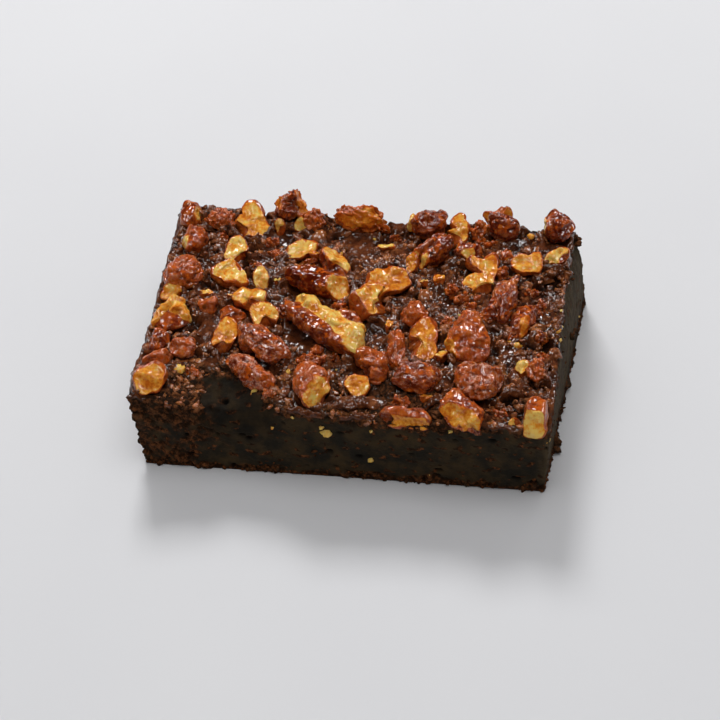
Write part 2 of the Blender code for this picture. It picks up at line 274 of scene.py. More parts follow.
class Nodes:
    """A material's node tree, with short names for the nodes that the finishes use."""

    def __init__(self, name: str) -> None:
        """Makes an empty material with a Principled shader and Object coordinates."""
        self.material = bpy.data.materials.new(name)
        self.material.use_nodes = True
        self.tree = self.material.node_tree
        self.shader = self.tree.nodes["Principled BSDF"]
        self.coordinates = self.add("ShaderNodeTexCoord").outputs["Object"]

    def add(self, kind: str, **settings: object) -> bpy.types.Node:
        """Adds a node and sets its properties."""
        node = self.tree.nodes.new(kind)
        for name, value in settings.items():
            setattr(node, name, value)
        return node

    def link(self, source: object, target: bpy.types.NodeSocket) -> None:
        """Joins an output to an input, or sets the input if the source is a plain value."""
        if isinstance(source, bpy.types.NodeSocket):
            self.tree.links.new(source, target)
        elif isinstance(source, tuple):
            target.default_value = (*source, 1.0) if target.type == "RGBA" else source
        else:
            target.default_value = source

    def mark(self, name: str) -> bpy.types.NodeSocket:
        """A number that the mesh carries."""
        return self.add("ShaderNodeAttribute", attribute_name=name).outputs["Fac"]

    def stretched(self, scale: tuple[float, float, float]) -> bpy.types.NodeSocket:
        """Object coordinates, stretched along the axes."""
        node = self.add("ShaderNodeMapping")
        self.link(self.coordinates, node.inputs["Vector"])
        node.inputs["Scale"].default_value = scale
        return node.outputs["Vector"]

    def noise(
        self, size_mm: float, detail: float = 3.0, vector: object = None, rough: float = 0.55
    ) -> bpy.types.NodeSocket:
        """Noise with lumps of about size_mm, from 0 to 1."""
        node = self.add("ShaderNodeTexNoise")
        self.link(vector or self.coordinates, node.inputs["Vector"])
        node.inputs["Scale"].default_value = 1 / (size_mm * MM)
        node.inputs["Detail"].default_value = detail
        node.inputs["Roughness"].default_value = rough
        return node.outputs["Fac"]

    def fit(
        self, value: object, low: float, high: float, to_low: float = 0.0, to_high: float = 1.0
    ) -> bpy.types.NodeSocket:
        """The value moved smoothly from one span to another, and held at its ends."""
        node = self.add("ShaderNodeMapRange", interpolation_type="SMOOTHSTEP")
        self.link(value, node.inputs["Value"])
        spans = {"From Min": low, "From Max": high, "To Min": to_low, "To Max": to_high}
        for socket, number in spans.items():
            node.inputs[socket].default_value = number
        return node.outputs["Result"]

    def math(self, operation: str, first: object, second: object) -> bpy.types.NodeSocket:
        """A sum or product of two values."""
        node = self.add("ShaderNodeMath", operation=operation)
        self.link(first, node.inputs[0])
        self.link(second, node.inputs[1])
        return node.outputs["Value"]

    def times(self, first: object, second: object) -> bpy.types.NodeSocket:
        """The product of two values."""
        return self.math("MULTIPLY", first, second)

    def plus(self, first: object, second: object, factor: float = 1.0) -> bpy.types.NodeSocket:
        """The first value added to the second times a factor."""
        return self.math("ADD", first, second if factor == 1.0 else self.times(second, factor))

    def mix(self, share: object, first: object, second: object) -> bpy.types.NodeSocket:
        """One colour turning into another."""
        node = self.add("ShaderNodeMix", data_type="RGBA")
        self.link(share, node.inputs["Factor"])
        self.link(first, node.inputs["A"])
        self.link(second, node.inputs["B"])
        return node.outputs["Result"]

    def bump(self, height: object, depth_mm: float, below: object = None) -> bpy.types.NodeSocket:
        """Relief of the given depth, on top of another relief if there is one."""
        node = self.add("ShaderNodeBump")
        self.link(height, node.inputs["Height"])
        node.inputs["Distance"].default_value = depth_mm * MM
        if below is not None:
            self.link(below, node.inputs["Normal"])
        return node.outputs["Normal"]

    def finish(self, **sockets: object) -> bpy.types.Material:
        """Sets or links the shader's inputs, named with underscores for spaces."""
        for name, value in sockets.items():
            self.link(value, self.shader.inputs[name.replace("_", " ")])
        return self.material


@dataclass(frozen=True)
class CakeFinish:
    """Dark cut crumb, rusty where it crumbles, under a brown baked crust that is wet with glaze in places.

    The mesh's marks are crust, rust, smear and wet, each 0 to 1, pit, 1 at the bottom of a hole, and
    relief, from -1 in the gaps between grains to 1 on their tops. The pit colour is painted shade: near
    black in holes, hollows, crevices beside the nuts and torn patches, and mixed in on the wiped corner.
    Relief paints shade into the gaps between grains and light onto their tops. The smear's lighter colour
    on the right wall is the knife's streaks with a painted sheen.
    """

    crumb: Colour = linear(40, 36, 30)
    crumb_light: Colour = linear(68, 54, 36)
    rust: Colour = linear(124, 74, 42)
    rust_dark: Colour = linear(38, 24, 14)
    # Painted sheen: these colours lighten the right wall; their streaks are the knife's.
    smear: Colour = linear(86, 73, 54)
    smear_dark: Colour = linear(60, 49, 35)
    crust: Colour = linear(90, 44, 20)
    crust_light: Colour = linear(152, 90, 48)
    crust_dark: Colour = linear(32, 15, 7)
    # Painted shade: near black put into holes, hollows, crevices and torn patches.
    pit: Colour = linear(9, 6, 4)

    def material(self) -> bpy.types.Material:
        """Builds the material."""
        nodes = Nodes("chocolate_cake")
        fine = nodes.noise(0.6, 4.0)
        relief = nodes.mark("relief")
        crumb = nodes.mix(nodes.fit(nodes.noise(5.0, 4.0), 0.35, 0.7), self.crumb, self.crumb_light)
        # Relief makes the rusty crumb lighter on grain tops and darker in the gaps: partly painted light and
        # shade.
        rust_tone = nodes.plus(nodes.noise(0.9, 5.0, rough=0.7), relief, 0.16)
        rusty = nodes.mix(nodes.fit(rust_tone, 0.4, 0.8), self.rust_dark, self.rust)
        loose = nodes.plus(nodes.mark("rust"), nodes.noise(1.6, 4.0, rough=0.7), 1.2)
        cake = nodes.mix(nodes.fit(loose, 0.9, 1.5), crumb, rusty)
        # The right wall's painted sheen, streaked like the knife's strokes.
        streaks = nodes.noise(1.4, 4.0, nodes.stretched((1.0, 1.0, 0.2)))
        wiped = nodes.mix(nodes.fit(streaks, 0.3, 0.7), self.smear_dark, self.smear)
        cake = nodes.mix(nodes.mark("smear"), cake, wiped)
        # Relief adds painted shade in the gaps between grains and painted light on their tops to the crust's
        # random tone.
        tone = nodes.plus(nodes.noise(2.4, 5.0, rough=0.75), relief, 0.14)
        crust = nodes.mix(nodes.fit(tone, 0.28, 0.54), self.crust_dark, self.crust)
        crust = nodes.mix(nodes.fit(tone, 0.5, 0.82), crust, self.crust_light)
        colour = nodes.mix(nodes.mark("crust"), cake, crust)
        # Painted shade: the near-black pit colour goes where the mesh marks a hole, hollow, crevice or the
        # wiped corner.
        colour = nodes.mix(nodes.mark("pit"), colour, self.pit)
        wet = nodes.mark("wet")
        rough = nodes.fit(nodes.plus(wet, fine, -0.25), 0.1, 0.8, 0.65, 0.4)
        bump = nodes.bump(nodes.noise(0.32, 3.0), 0.12)
        bump = nodes.bump(nodes.noise(1.0, 3.0), 0.32, bump)
        glaze = nodes.bump(nodes.noise(0.8, 1.0), 0.07)
        glaze = nodes.bump(nodes.noise(1.8, 1.0), 0.2, glaze)
        return nodes.finish(
            Base_Color=colour, Roughness=rough, Normal=bump, Coat_Weight=wet, Coat_Roughness=0.08,
            Coat_Normal=glaze, Specular_IOR_Level=0.03,
        )


@dataclass(frozen=True)
class NutFinish:
    """Pecan: red-brown skin and cream to amber broken flesh, under a glaze with a fine sparkle.

    The mesh's marks are flesh (over 0.5 where it is broken), relief (-1 to 1, high on crests), skin_tone
    (0 dark red, 1 orange-brown), flesh_tone (0 pale, 1 amber) and frost, for the sugar's pinkish film.
    Relief also paints light and shade: the skin darkens in its valleys and lightens a little on crests,
    and the flesh is paler on crests and more amber in hollows.
    """

    # Painted shade: the darkest skin colour goes into the skin's valleys, and also into random dark mottles.
    skin_dark_and_valley_shade: Colour = linear(46, 13, 5)
    skin_red: Colour = linear(108, 32, 10)
    skin_brown: Colour = linear(170, 75, 25)
    # Partly painted light: the pale skin colour goes where random mottling and the crests' relief are high.
    skin_pale_and_crest_light: Colour = linear(210, 130, 64)
    skin_amber: Colour = linear(204, 104, 28)
    frost: Colour = linear(206, 142, 112)
    rim: Colour = linear(184, 80, 18)
    flesh_pale: Colour = linear(230, 192, 100)
    flesh_amber: Colour = linear(226, 146, 46)
    flesh_deep: Colour = linear(184, 84, 18)
    name: str = "glazed_pecan"

    def material(self) -> bpy.types.Material:
        """Builds the material."""
        nodes = Nodes(self.name)
        relief = nodes.mark("relief")
        varied = nodes.plus(nodes.mark("skin_tone"), nodes.fit(nodes.noise(3.0, 3.0), 0.3, 0.7, -0.4, 0.4))
        skin = nodes.mix(nodes.fit(varied, 0.0, 1.0), self.skin_red, self.skin_brown)
        skin = nodes.mix(nodes.fit(nodes.noise(4.2, 2.0), 0.52, 0.7, 0.0, 0.6), skin, self.skin_amber)
        # Painted shade: the skin darkens in its valleys.
        skin = nodes.mix(nodes.fit(relief, -0.15, -1.0, 0.0, 0.6), skin, self.skin_dark_and_valley_shade)
        # Random grain nudged by relief: darker mottles in grooves and lighter ones on crests, partly painted
        # shade and light.
        grain = nodes.plus(nodes.noise(1.3, 3.0), relief, 0.1)
        skin = nodes.mix(nodes.fit(grain, 0.52, 0.3, 0.0, 0.35), skin, self.skin_dark_and_valley_shade)
        skin = nodes.mix(nodes.fit(grain, 0.5, 0.85, 0.0, 0.5), skin, self.skin_pale_and_crest_light)
        film = nodes.times(nodes.mark("frost"), nodes.fit(nodes.noise(0.9, 4.0, rough=0.7), 0.46, 0.66))
        skin = nodes.mix(film, skin, self.frost)
        mottled = nodes.fit(nodes.noise(0.8, 3.0), 0.3, 0.7, -0.14, 0.24)
        shade = nodes.plus(mottled, nodes.noise(2.6, 3.0), 0.8)
        # Painted shade and light: the flesh is paler on crests and more amber in hollows.
        shade = nodes.plus(shade, relief, -0.34)
        shade = nodes.plus(shade, nodes.mark("flesh_tone"), 0.5)
        flesh = nodes.mix(nodes.fit(shade, 0.38, 0.86), self.flesh_pale, self.flesh_amber)
        flesh = nodes.mix(nodes.fit(shade, 0.74, 1.2, 0.0, 0.85), flesh, self.flesh_deep)
        speck = nodes.fit(nodes.noise(0.5, 2.0), 0.6, 0.75, 0.0, 0.35)
        flesh = nodes.mix(speck, flesh, self.flesh_deep)
        edge = nodes.plus(nodes.mark("flesh"), nodes.fit(nodes.noise(0.9, 3.0), 0.2, 0.8, -0.12, 0.12))
        nut = nodes.mix(nodes.fit(edge, 0.4, 0.5), skin, self.rim)
        nut = nodes.mix(nodes.fit(edge, 0.5, 0.82), nut, flesh)
        bump = nodes.bump(nodes.noise(0.8, 3.0), 0.14)
        glaze = nodes.bump(nodes.noise(0.8, 1.0), 0.04)
        glaze = nodes.bump(nodes.noise(1.9, 1.0), 0.12, glaze)
        shine = nodes.times(nodes.fit(film, 0.0, 0.6, 1.0, 0.45), nodes.fit(edge, 0.5, 0.7, 1.0, 0.75))
        return nodes.finish(
            Base_Color=nut, Roughness=0.6, Normal=bump, Coat_Weight=shine, Coat_Roughness=0.08,
            Coat_Normal=glaze, Specular_IOR_Level=0.0, Subsurface_Weight=0.25, Subsurface_Scale=0.001,
            Subsurface_Radius=(1.0, 0.42, 0.12),
        )


@dataclass(frozen=True)
class FloorFinish:
    """A pale matt table top with the faintest mottling."""

    pale: Colour = linear(219, 219, 221)
    grey: Colour = linear(213, 213, 216)

    def material(self) -> bpy.types.Material:
        """Builds the material."""
        nodes = Nodes("pale_table")
        colour = nodes.mix(nodes.noise(90.0, 2.0), self.pale, self.grey)
        return nodes.finish(Base_Color=colour, Roughness=0.7, Normal=nodes.bump(nodes.noise(3.0), 0.02))


# ---------------------------------------------------------------------------------------------------------
# The slice's own form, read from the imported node
# ---------------------------------------------------------------------------------------------------------


class SliceForm:
    """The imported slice's corners and top, from which the fine surfaces are laid out."""

    FOOT_BELOW = 1.0
    TOP_ABOVE = 14.0
    WALL_REACH = 2.0
    WALL_BELOW = 19.0
    BLUR = 3.2
    BATCH = 20000

    def __init__(self) -> None:
        """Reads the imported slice's points, in mm."""
        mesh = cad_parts[SLICE_NODE].data
        points = np.empty(len(mesh.vertices) * 3)
        mesh.vertices.foreach_get("co", points)
        points = points.reshape(-1, 3) / MM
        low, high = points.min(0), points.max(0)
        self.middle = (low + high) / 2
        self.foot = self._corners(points[points[:, 2] < self.FOOT_BELOW])
        upper = points[points[:, 2] > self.TOP_ABOVE]
        self.head = self._corners(upper)
        self.top = np.unique(np.round(upper[self._inside(upper)], 4), axis=0)
        LOG.info("slice: %d top points, %s to %s mm", len(self.top), low.round(1), high.round(1))

    def _corners(self, points: np.ndarray) -> np.ndarray:
        """The points furthest towards the four corners: front left, front right, back left, back right."""
        away = points[:, :2] - self.middle[:2]
        ways = [(x, y) for y in (-1, 1) for x in (-1, 1)]
        return np.array([points[np.argmax(away @ np.array(way))][:2] for way in ways])

    def _inside(self, points: np.ndarray) -> np.ndarray:
        """Which of the upper points are on the top and not on a wall: nothing at their place is higher."""
        order = np.lexsort((-points[:, 2], np.round(points[:, 1], 1), np.round(points[:, 0], 1)))
        places = np.round(points[order][:, :2], 1)
        first = np.ones(len(points), bool)
        first[1:] = np.any(places[1:] != places[:-1], axis=1)
        chosen = np.zeros(len(points), bool)
        chosen[order[first]] = True
        reach = np.abs(points[:, :2] - self.middle[:2])
        near_wall = np.any(reach > np.abs(self.head - self.middle[:2]).min(0) - self.WALL_REACH, axis=1)
        return chosen & ~(near_wall & (points[:, 2] < self.WALL_BELOW))

    def plan(self, across: np.ndarray, deep: np.ndarray, up: np.ndarray) -> np.ndarray:
        """The places in plan of points given as shares: the corners' bilinear mix, from foot to top.

        Args:
            across: 0 at the left and 1 at the right.
            deep: 0 at the front and 1 at the back.
            up: 0 at the foot and 1 at the top.

        Returns:
            N by 2, in mm.
        """
        left, front = 1 - across, 1 - deep
        shares = np.stack([left * front, across * front, left * deep, across * deep])
        low = np.tensordot(shares, self.foot, (0, 0))
        high = np.tensordot(shares, self.head, (0, 0))
        return low + (high - low) * up[:, None]

    def level(self, plan: np.ndarray) -> np.ndarray:
        """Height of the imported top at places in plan: a Gaussian-weighted mean of its points nearby."""
        heights = np.empty(len(plan))
        for start in range(0, len(plan), self.BATCH):
            part = slice(start, start + self.BATCH)
            gaps = ((plan[part, None, :] - self.top[None, :, :2]) ** 2).sum(-1)
            weights = np.exp(-(gaps - gaps.min(1, keepdims=True)) / (2 * self.BLUR**2))
            heights[part] = (weights * self.top[:, 2]).sum(1) / weights.sum(1)
        return heights


# ---------------------------------------------------------------------------------------------------------
# Nuts
# ---------------------------------------------------------------------------------------------------------


@dataclass(frozen=True)
class Lobe:
    """One rounded swelling of a nut: an ellipsoid, in mm.

    Attributes:
        x: how far its middle is to the right of the nut's.
        y: how far its middle is behind the nut's.
        long: its half length.
        wide: its half width.
        high: its half height.
        turn: its turn about +Z, in degrees.
        flesh: whether it is bare flesh. The others are skin.
    """

    x: float
    y: float
    long: float
    wide: float
    high: float = 3.0
    turn: float = 0.0
    flesh: bool = False


@dataclass(frozen=True)
class Facet:
    """A flat face that cuts a nut.

    Attributes:
        turn: the way it looks in plan, in degrees about +Z from +X.
        tilt: the way it looks above the horizon, in degrees.
        depth: its distance from the nut's heart, in mm.
        bare: whether it shows flesh. The others have skin.
    """

    turn: float
    tilt: float
    depth: float
    bare: bool = True

    def normal(self) -> np.ndarray:
        """The unit vector that the face looks along."""
        turn, tilt = math.radians(self.turn), math.radians(self.tilt)
        return np.array([math.cos(turn) * math.cos(tilt), math.sin(turn) * math.cos(tilt), math.sin(tilt)])


@dataclass(frozen=True)
class Pit:
    """A hole: a ball taken out of the nut, in mm from its middle."""

    x: float
    y: float
    z: float
    radius: float


class Surface(Enum):
    """How a nut's skin is broken up, in mm: the height of ridges, grain, warp and lumps."""

    FOLDED = (0.26, 0.0, 0.3, 0.3)
    RIDGED = (0.14, 0.02, 0.25, 0.22)
    LUMPY = (0.05, 0.05, 0.35, 0.32)
    GRANULAR = (0.02, 0.3, 0.6, 0.4)
    SMOOTH = (0.03, 0.0, 0.15, 0.12)


@dataclass(frozen=True)
class NutForm:
    """One chopped pecan.

    Attributes:
        lobes: its swellings, which are joined smoothly. The first gives the way that its ridges run.
        facets: its flat and broken faces.
        pits: its holes.
        surface: how its skin is broken up.
        skin_tone: 0 for dark red skin to 1 for orange-brown.
        flesh_tone: 0 for pale flesh to 1 for amber.
        frost: how much of the sugar's film it has.
        heart: the place, in mm from its middle, from which its whole skin can be seen.
        chips: how many random corners are tried for knocking off.
        scoops: how many shallow hollows its bare flesh has.
    """

    lobes: tuple[Lobe, ...]
    facets: tuple[Facet, ...] = ()
    pits: tuple[Pit, ...] = ()
    surface: Surface = Surface.LUMPY
    skin_tone: float = 0.5
    flesh_tone: float = 0.3
    frost: float = 0.1
    heart: tuple[float, float] = (0.0, 0.0)
    chips: int = 12
    scoops: int = 3


def skin_lump(
    long: float, wide: float, turn: float, tone: float = 0.5, frost: float = 0.1,
    surface: Surface = Surface.LUMPY, facets: tuple[Facet, ...] = (), high: float = 3.0,
) -> NutForm:
    """A chunk that is skin nearly all over: a large lobe, with three smaller ones out of its middle."""
    c, s = math.cos(math.radians(turn)), math.sin(math.radians(turn))
    spots = ((0.42, 0.30, 0.56, 35), (-0.40, 0.26, 0.60, 35), (0.02, -0.36, 0.62, 0))
    small = tuple(
        Lobe(long * along * c - wide * side * s, long * along * s + wide * side * c,
             long * share, wide * share * 1.15, high * 0.96, turn + twist)
        for along, side, share, twist in spots
    )
    return NutForm((Lobe(0, 0, long, wide, high * 0.86, turn), *small), facets, (), surface, tone, 0.4, frost)


def pecan_half(
    long: float, wide: float, turn: float, tone: float = 0.3, frost: float = 0.1,
    facets: tuple[Facet, ...] = (), high: float = 3.2,
) -> NutForm:
    """A long piece of a half: two lobes side by side with a groove between them."""
    s, c = math.sin(math.radians(turn)), math.cos(math.radians(turn))
    gap = wide * 0.42
    lobes = (
        Lobe(gap * s, -gap * c, long, wide * 0.60, high, turn + 3),
        Lobe(-gap * s, gap * c, long * 0.95, wide * 0.60, high * 0.94, turn - 3),
    )
    return NutForm(lobes, facets, (), Surface.FOLDED, tone, 0.5, frost, chips=7)


def chunk(
    lobes: tuple[Lobe, ...], facets: tuple[Facet, ...], skin: float, flesh: float,
    heart: tuple[float, float] = (0.0, 0.0), chips: int = 3, scoops: int = 1, pits: tuple[Pit, ...] = (),
) -> NutForm:
    """A broken piece whose flesh looks up, with smooth skin left on its lower sides."""
    return NutForm(lobes, facets, pits, Surface.SMOOTH, skin, flesh, 0.0, heart, chips, scoops)


def nut_forms() -> dict[str, NutForm]:
    """Each chopped pecan's form, by its node's name, in the frame's own directions."""
    forms = {
        1: skin_lump(4.6, 3.0, 95, 0.3, 0.1, Surface.SMOOTH, (Facet(5, 25, 2.6),)),
        2: skin_lump(4.4, 3.5, 20, 0.9, 0.15, Surface.GRANULAR),
        3: chunk((Lobe(0.2, 3.2, 2.9, 3.0, 3.2), Lobe(0.2, -0.6, 4.2, 3.0, 3.0),
                  Lobe(-2.4, -3.0, 3.2, 2.2, 2.8, 35), Lobe(3.0, -1.6, 2.8, 2.2, 2.8)),
                 (Facet(-78, 70, 0.4), Facet(-80, 14, 4.9, False)), 0.8, 0.7, heart=(0.2, -0.2),
                 scoops=2),
        4: NutForm((Lobe(0.9, 0.9, 2.4, 2.2, 4.8), Lobe(-2.8, 0.2, 2.4, 2.3, 2.6),
                    Lobe(3.0, -0.6, 2.2, 2.2, 3.0), Lobe(-0.6, -1.9, 2.8, 1.8, 2.4)),
                   (Facet(-10, 30, 3.4), Facet(200, 45, 3.2)), (Pit(1.2, -1.8, 2.6, 1.3),),
                   Surface.GRANULAR, 0.1, 1.2, 0.15),
        5: skin_lump(4.0, 2.8, -50, 0.95, 0.3, Surface.GRANULAR),
        6: NutForm((Lobe(-3.4, 0, 4.2, 3.4, 3.2), Lobe(0.6, 0.4, 4.6, 3.3, 3.7, 20),
                    Lobe(3.6, -0.2, 4.0, 3.0, 3.0, -12)), (Facet(-80, 35, 2.6), Facet(-60, 62, 2.8)),
                   (Pit(-0.8, -1.2, 4.2, 1.5),), Surface.GRANULAR, 1.1, 1.3, 0.0),
        7: NutForm((Lobe(1.0, 0, 5.6, 4.0, 4.2, 6), Lobe(3.4, 1.0, 3.4, 3.0, 3.6, 20),
                    Lobe(-4.6, 0.4, 2.2, 2.8, 2.6, 80, True)), (Facet(190, 5, 5.4),), (), Surface.LUMPY,
                   0.2, 0.3, 0.35),
        8: chunk((Lobe(0.2, 2.7, 2.3, 1.5, 2.8), Lobe(1.4, -0.2, 1.5, 3.4, 2.8),
                  Lobe(-0.4, -2.9, 2.4, 1.3, 2.6)), (Facet(-76, 66, 0.9),), 0.8, 0.6, heart=(1.1, -0.2),
                 chips=4, scoops=2),
        9: skin_lump(3.4, 2.4, 84, 1.2, 0.2, Surface.GRANULAR),
        10: skin_lump(4.4, 3.2, -8, -0.1, 0.2, Surface.FOLDED, (), 3.6),
        11: chunk((Lobe(-2.4, 0, 2.6, 1.5, 2.2), Lobe(1.0, 0.2, 2.2, 1.5, 3.2),
                   Lobe(2.8, 0, 1.6, 1.5, 4.4)), (Facet(-90, 20, 0.5),), 0.9, 0.8, heart=(0.4, 0.0),
                  chips=6, scoops=2),
        12: NutForm((Lobe(-0.4, 0.4, 4.2, 4.2, 5.0, 20), Lobe(1.8, -1.0, 3.4, 3.0, 2.6, -30)),
                    (Facet(190, 12, 3.6), Facet(60, 48, 3.2, False), Facet(-40, 50, 3.2, False),
                     Facet(-120, 44, 3.4, False), Facet(140, 54, 3.4, False)), (), Surface.LUMPY, 0.15,
                    0.5, 0.2, (0.0, 0.0), 4),
        13: skin_lump(4.6, 3.6, 78, 0.55, 0.1, Surface.LUMPY, (Facet(200, 30, 3.0),)),
        14: chunk((Lobe(0.3, 0, 4.4, 3.2, 3.0, 84),), (Facet(-40, 70, 0.9),), 0.3, 0.3),
        15: chunk((Lobe(0.0, 0.0, 5.0, 2.5, 2.6, 35), Lobe(-0.6, 0.8, 3.6, 2.2, 2.6, 30)),
                  (Facet(-76, 74, 0.3),), 0.9, 0.2, chips=0, scoops=0),
        16: chunk((Lobe(0, 0, 5.2, 3.4, 3.0, -50), Lobe(0.8, -0.8, 3.8, 3.2, 3.0, -56)),
                  (Facet(28, 60, 1.5), Facet(-150, 40, 2.6, False)), 0.0, 0.45, chips=2),
        17: pecan_half(7.2, 3.1, 54, 0.05, 0.2, (Facet(236, 38, 5.2),)),
        18: skin_lump(4.0, 3.0, -18, 0.15, 0.6, Surface.LUMPY, (Facet(-80, 45, 2.4),)),
        19: chunk((Lobe(2.4, 1.4, 5.6, 2.3, 3.4, 84), Lobe(1.2, -4.0, 3.4, 2.4, 3.2, 50),
                   Lobe(-1.6, 2.4, 3.6, 1.8, 3.2, 158), Lobe(-1.8, -3.2, 3.2, 1.5, 3.0, 12)),
                  (Facet(-76, 74, 1.1),), 0.8, 0.65, heart=(1.9, -0.6), chips=0),
        20: chunk((Lobe(-1.7, -0.3, 3.0, 3.0, 3.2, 20), Lobe(1.9, 0.5, 2.4, 3.7, 3.2, -12),
                   Lobe(0.2, -0.8, 3.2, 2.8, 3.2)), (Facet(-76, 70, 1.0),), 0.9, 0.75, heart=(0.1, -0.6),
                  chips=0, scoops=0),
        21: chunk((Lobe(0, 0, 4.2, 2.1, 2.6, 40), Lobe(0.9, 0.7, 3.0, 2.0, 2.6, 52)),
                  (Facet(-76, 70, 1.0),), 0.8, 0.25),
        22: skin_lump(5.4, 4.5, 62, 0.75, 0.3, Surface.FOLDED, (), 3.8),
        23: chunk((Lobe(-0.6, 0, 5.0, 3.6, 3.2, -8), Lobe(-0.4, 1.6, 3.0, 3.0, 3.2, 0),
                   Lobe(3.2, -1.2, 2.6, 2.0, 2.8, -30)),
                  (Facet(-80, 80, 1.4), Facet(-85, 40, 2.9, False)), 0.95, 0.45),
        24: chunk((Lobe(0, 0.2, 2.6, 3.7, 3.2), Lobe(0.6, -1.2, 2.2, 2.8, 3.2, -20)),
                  (Facet(-76, 64, 0.7),), 0.7, 0.3, chips=2, scoops=0),
        25: chunk((Lobe(-0.6, 1.2, 9.8, 2.8, 3.4, -16), Lobe(0.2, -1.2, 9.6, 2.7, 3.4, -22),
                   Lobe(5.4, -1.6, 4.6, 3.4, 3.0, -30)),
                  (Facet(-30, 52, 3.9), Facet(-85, 66, 3.3, False)), -0.15, 0.45),
        26: chunk((Lobe(2.2, 1.4, 4.4, 3.4, 3.6, -5), Lobe(-2.8, -1.2, 3.8, 3.6, 3.4, 40),
                   Lobe(-0.4, 0.6, 3.8, 3.4, 3.6)), (Facet(-76, 68, 0.8),), 0.8, 0.95, heart=(-0.2, 0.4),
                  scoops=2, pits=(Pit(2.6, -4.2, 1.2, 2.3),)),
        27: pecan_half(8.2, 3.2, 80, 0.15, 0.3),
        28: chunk((Lobe(0, 0, 2.9, 2.6, 3.0, 10), Lobe(-1.2, -0.8, 1.8, 1.8, 2.8, 40)),
                  (Facet(-74, 66, 0.3),), 0.8, 0.75),
        29: NutForm((Lobe(0.0, -1.4, 4.4, 5.0, 1.8, 10), Lobe(-2.0, -0.2, 6.0, 1.3, 3.3, 68, True),
                     Lobe(2.2, 1.0, 4.6, 1.4, 3.2, -48, True), Lobe(3.4, -1.0, 1.9, 1.7, 2.9, 0, True),
                     Lobe(0.4, 4.0, 2.2, 1.9, 3.5, 0, True)), (), (Pit(1.0, -1.8, 3.0, 1.7),),
                    Surface.SMOOTH, 0.3, 0.7, 0.15, (-0.3, 1.6), 4, 2),
        30: skin_lump(3.1, 2.6, 12, 0.95, 0.35, Surface.LUMPY),
        31: chunk((Lobe(-1.2, 0.6, 3.6, 2.9, 2.8, -20), Lobe(1.4, 0.4, 3.2, 2.9, 2.8, 10),
                   Lobe(0.8, -1.0, 3.0, 2.6, 2.8, -40)), (Facet(-76, 78, 0.3),), 0.7, 0.5,
                  heart=(0.2, 0.2), pits=(Pit(1.8, -2.0, 1.2, 0.8),)),
        32: skin_lump(4.4, 2.6, -34, 0.6, 0.15, Surface.SMOOTH),
        33: chunk((Lobe(-1.0, 0.4, 3.2, 3.2, 2.9), Lobe(1.2, -0.4, 3.2, 3.0, 2.9)),
                  (Facet(-74, 78, 0.3), Facet(-60, 20, 3.4, False)), 0.7, 0.45, heart=(0.3, 0.0)),
        34: NutForm((Lobe(-2.6, -2.6, 14.6, 3.2, 3.3, -42), Lobe(3.8, 1.6, 4.2, 2.6, 2.5, -40),
                     Lobe(-5.0, 4.2, 6.6, 2.3, 3.8, -50, True), Lobe(-0.6, 0.2, 8.4, 3.1, 4.1, -42, True),
                     Lobe(5.2, -4.4, 6.4, 4.6, 3.7, -30, True)), (Facet(-30, 50, 7.6),),
                    (Pit(4.4, -3.8, 3.9, 0.7),), Surface.SMOOTH, 0.3, 0.3, 0.2, (0.0, -0.6), 6, 6),
        35: chunk((Lobe(-1.2, -1.6, 4.6, 4.4, 3.6, -52), Lobe(1.2, 1.4, 5.0, 4.2, 3.6, -40)),
                  (Facet(-14, 66, 1.0), Facet(-126, 34, 3.6, False)), 0.75, 0.7, scoops=2,
                  pits=(Pit(3.8, -3.4, 1.4, 1.6),)),
        36: skin_lump(4.4, 3.2, 62, 0.8, 0.3, Surface.LUMPY),
        37: chunk((Lobe(0, 1.0, 5.8, 3.9, 3.4, 84), Lobe(0.2, -2.6, 3.8, 4.2, 3.4, 80)),
                  (Facet(-72, 70, 0.6),), 0.8, 1.1, heart=(0.2, 0.0), chips=0),
        38: NutForm((Lobe(0, -1.0, 5.8, 5.6, 3.8, 0), Lobe(-0.4, 3.6, 3.4, 4.4, 3.9, 100),
                     Lobe(2.6, -3.0, 3.4, 3.2, 3.4, 0)), (Facet(214, 24, 5.0), Facet(-80, 50, 4.3, False),
                                                          Facet(24, 40, 4.4, False),
                                                          Facet(165, 46, 3.9, False)), (), Surface.LUMPY,
                    0.65, 1.2, 0.3),
        39: NutForm((Lobe(0, 0, 6.4, 2.8, 3.0, 70), Lobe(0.9, -1.6, 3.4, 1.1, 3.1, 76, True)), (), (),
                    Surface.RIDGED, 0.1, 1.1, 0.3, (0.0, 0.0), 8),
        40: skin_lump(3.7, 2.8, -66, 0.85, 0.1, Surface.GRANULAR),
        41: skin_lump(3.6, 2.8, 84, 0.3, 0.15, Surface.RIDGED),
        42: skin_lump(4.0, 3.0, 32, 0.6, 0.7, Surface.LUMPY),
        43: chunk((Lobe(0.6, 2.0, 3.4, 3.2, 3.2, 60), Lobe(-0.4, -1.6, 3.6, 3.2, 3.1, 78),
                   Lobe(0, 0.2, 3.8, 3.0, 3.2, 80)), (Facet(-80, 74, 0.4),), 0.55, 0.85, scoops=2,
                  pits=(Pit(-0.6, 0.4, 1.2, 0.7),)),
        44: NutForm((Lobe(-2.6, 2.0, 5.0, 4.0, 3.6, -38), Lobe(2.8, -2.4, 5.2, 3.6, 3.6, -38)),
                    (Facet(-100, 62, 3.3, False), Facet(40, 40, 3.6, False)), (), Surface.LUMPY, 0.4, 0.4,
                    0.65),
        45: skin_lump(8.4, 3.1, -32, 0.45, 0.9, Surface.LUMPY, (Facet(-110, 50, 2.8, False),), 2.9),
        46: skin_lump(4.2, 2.4, -12, 0.65, 0.15, Surface.GRANULAR, (), 2.4),
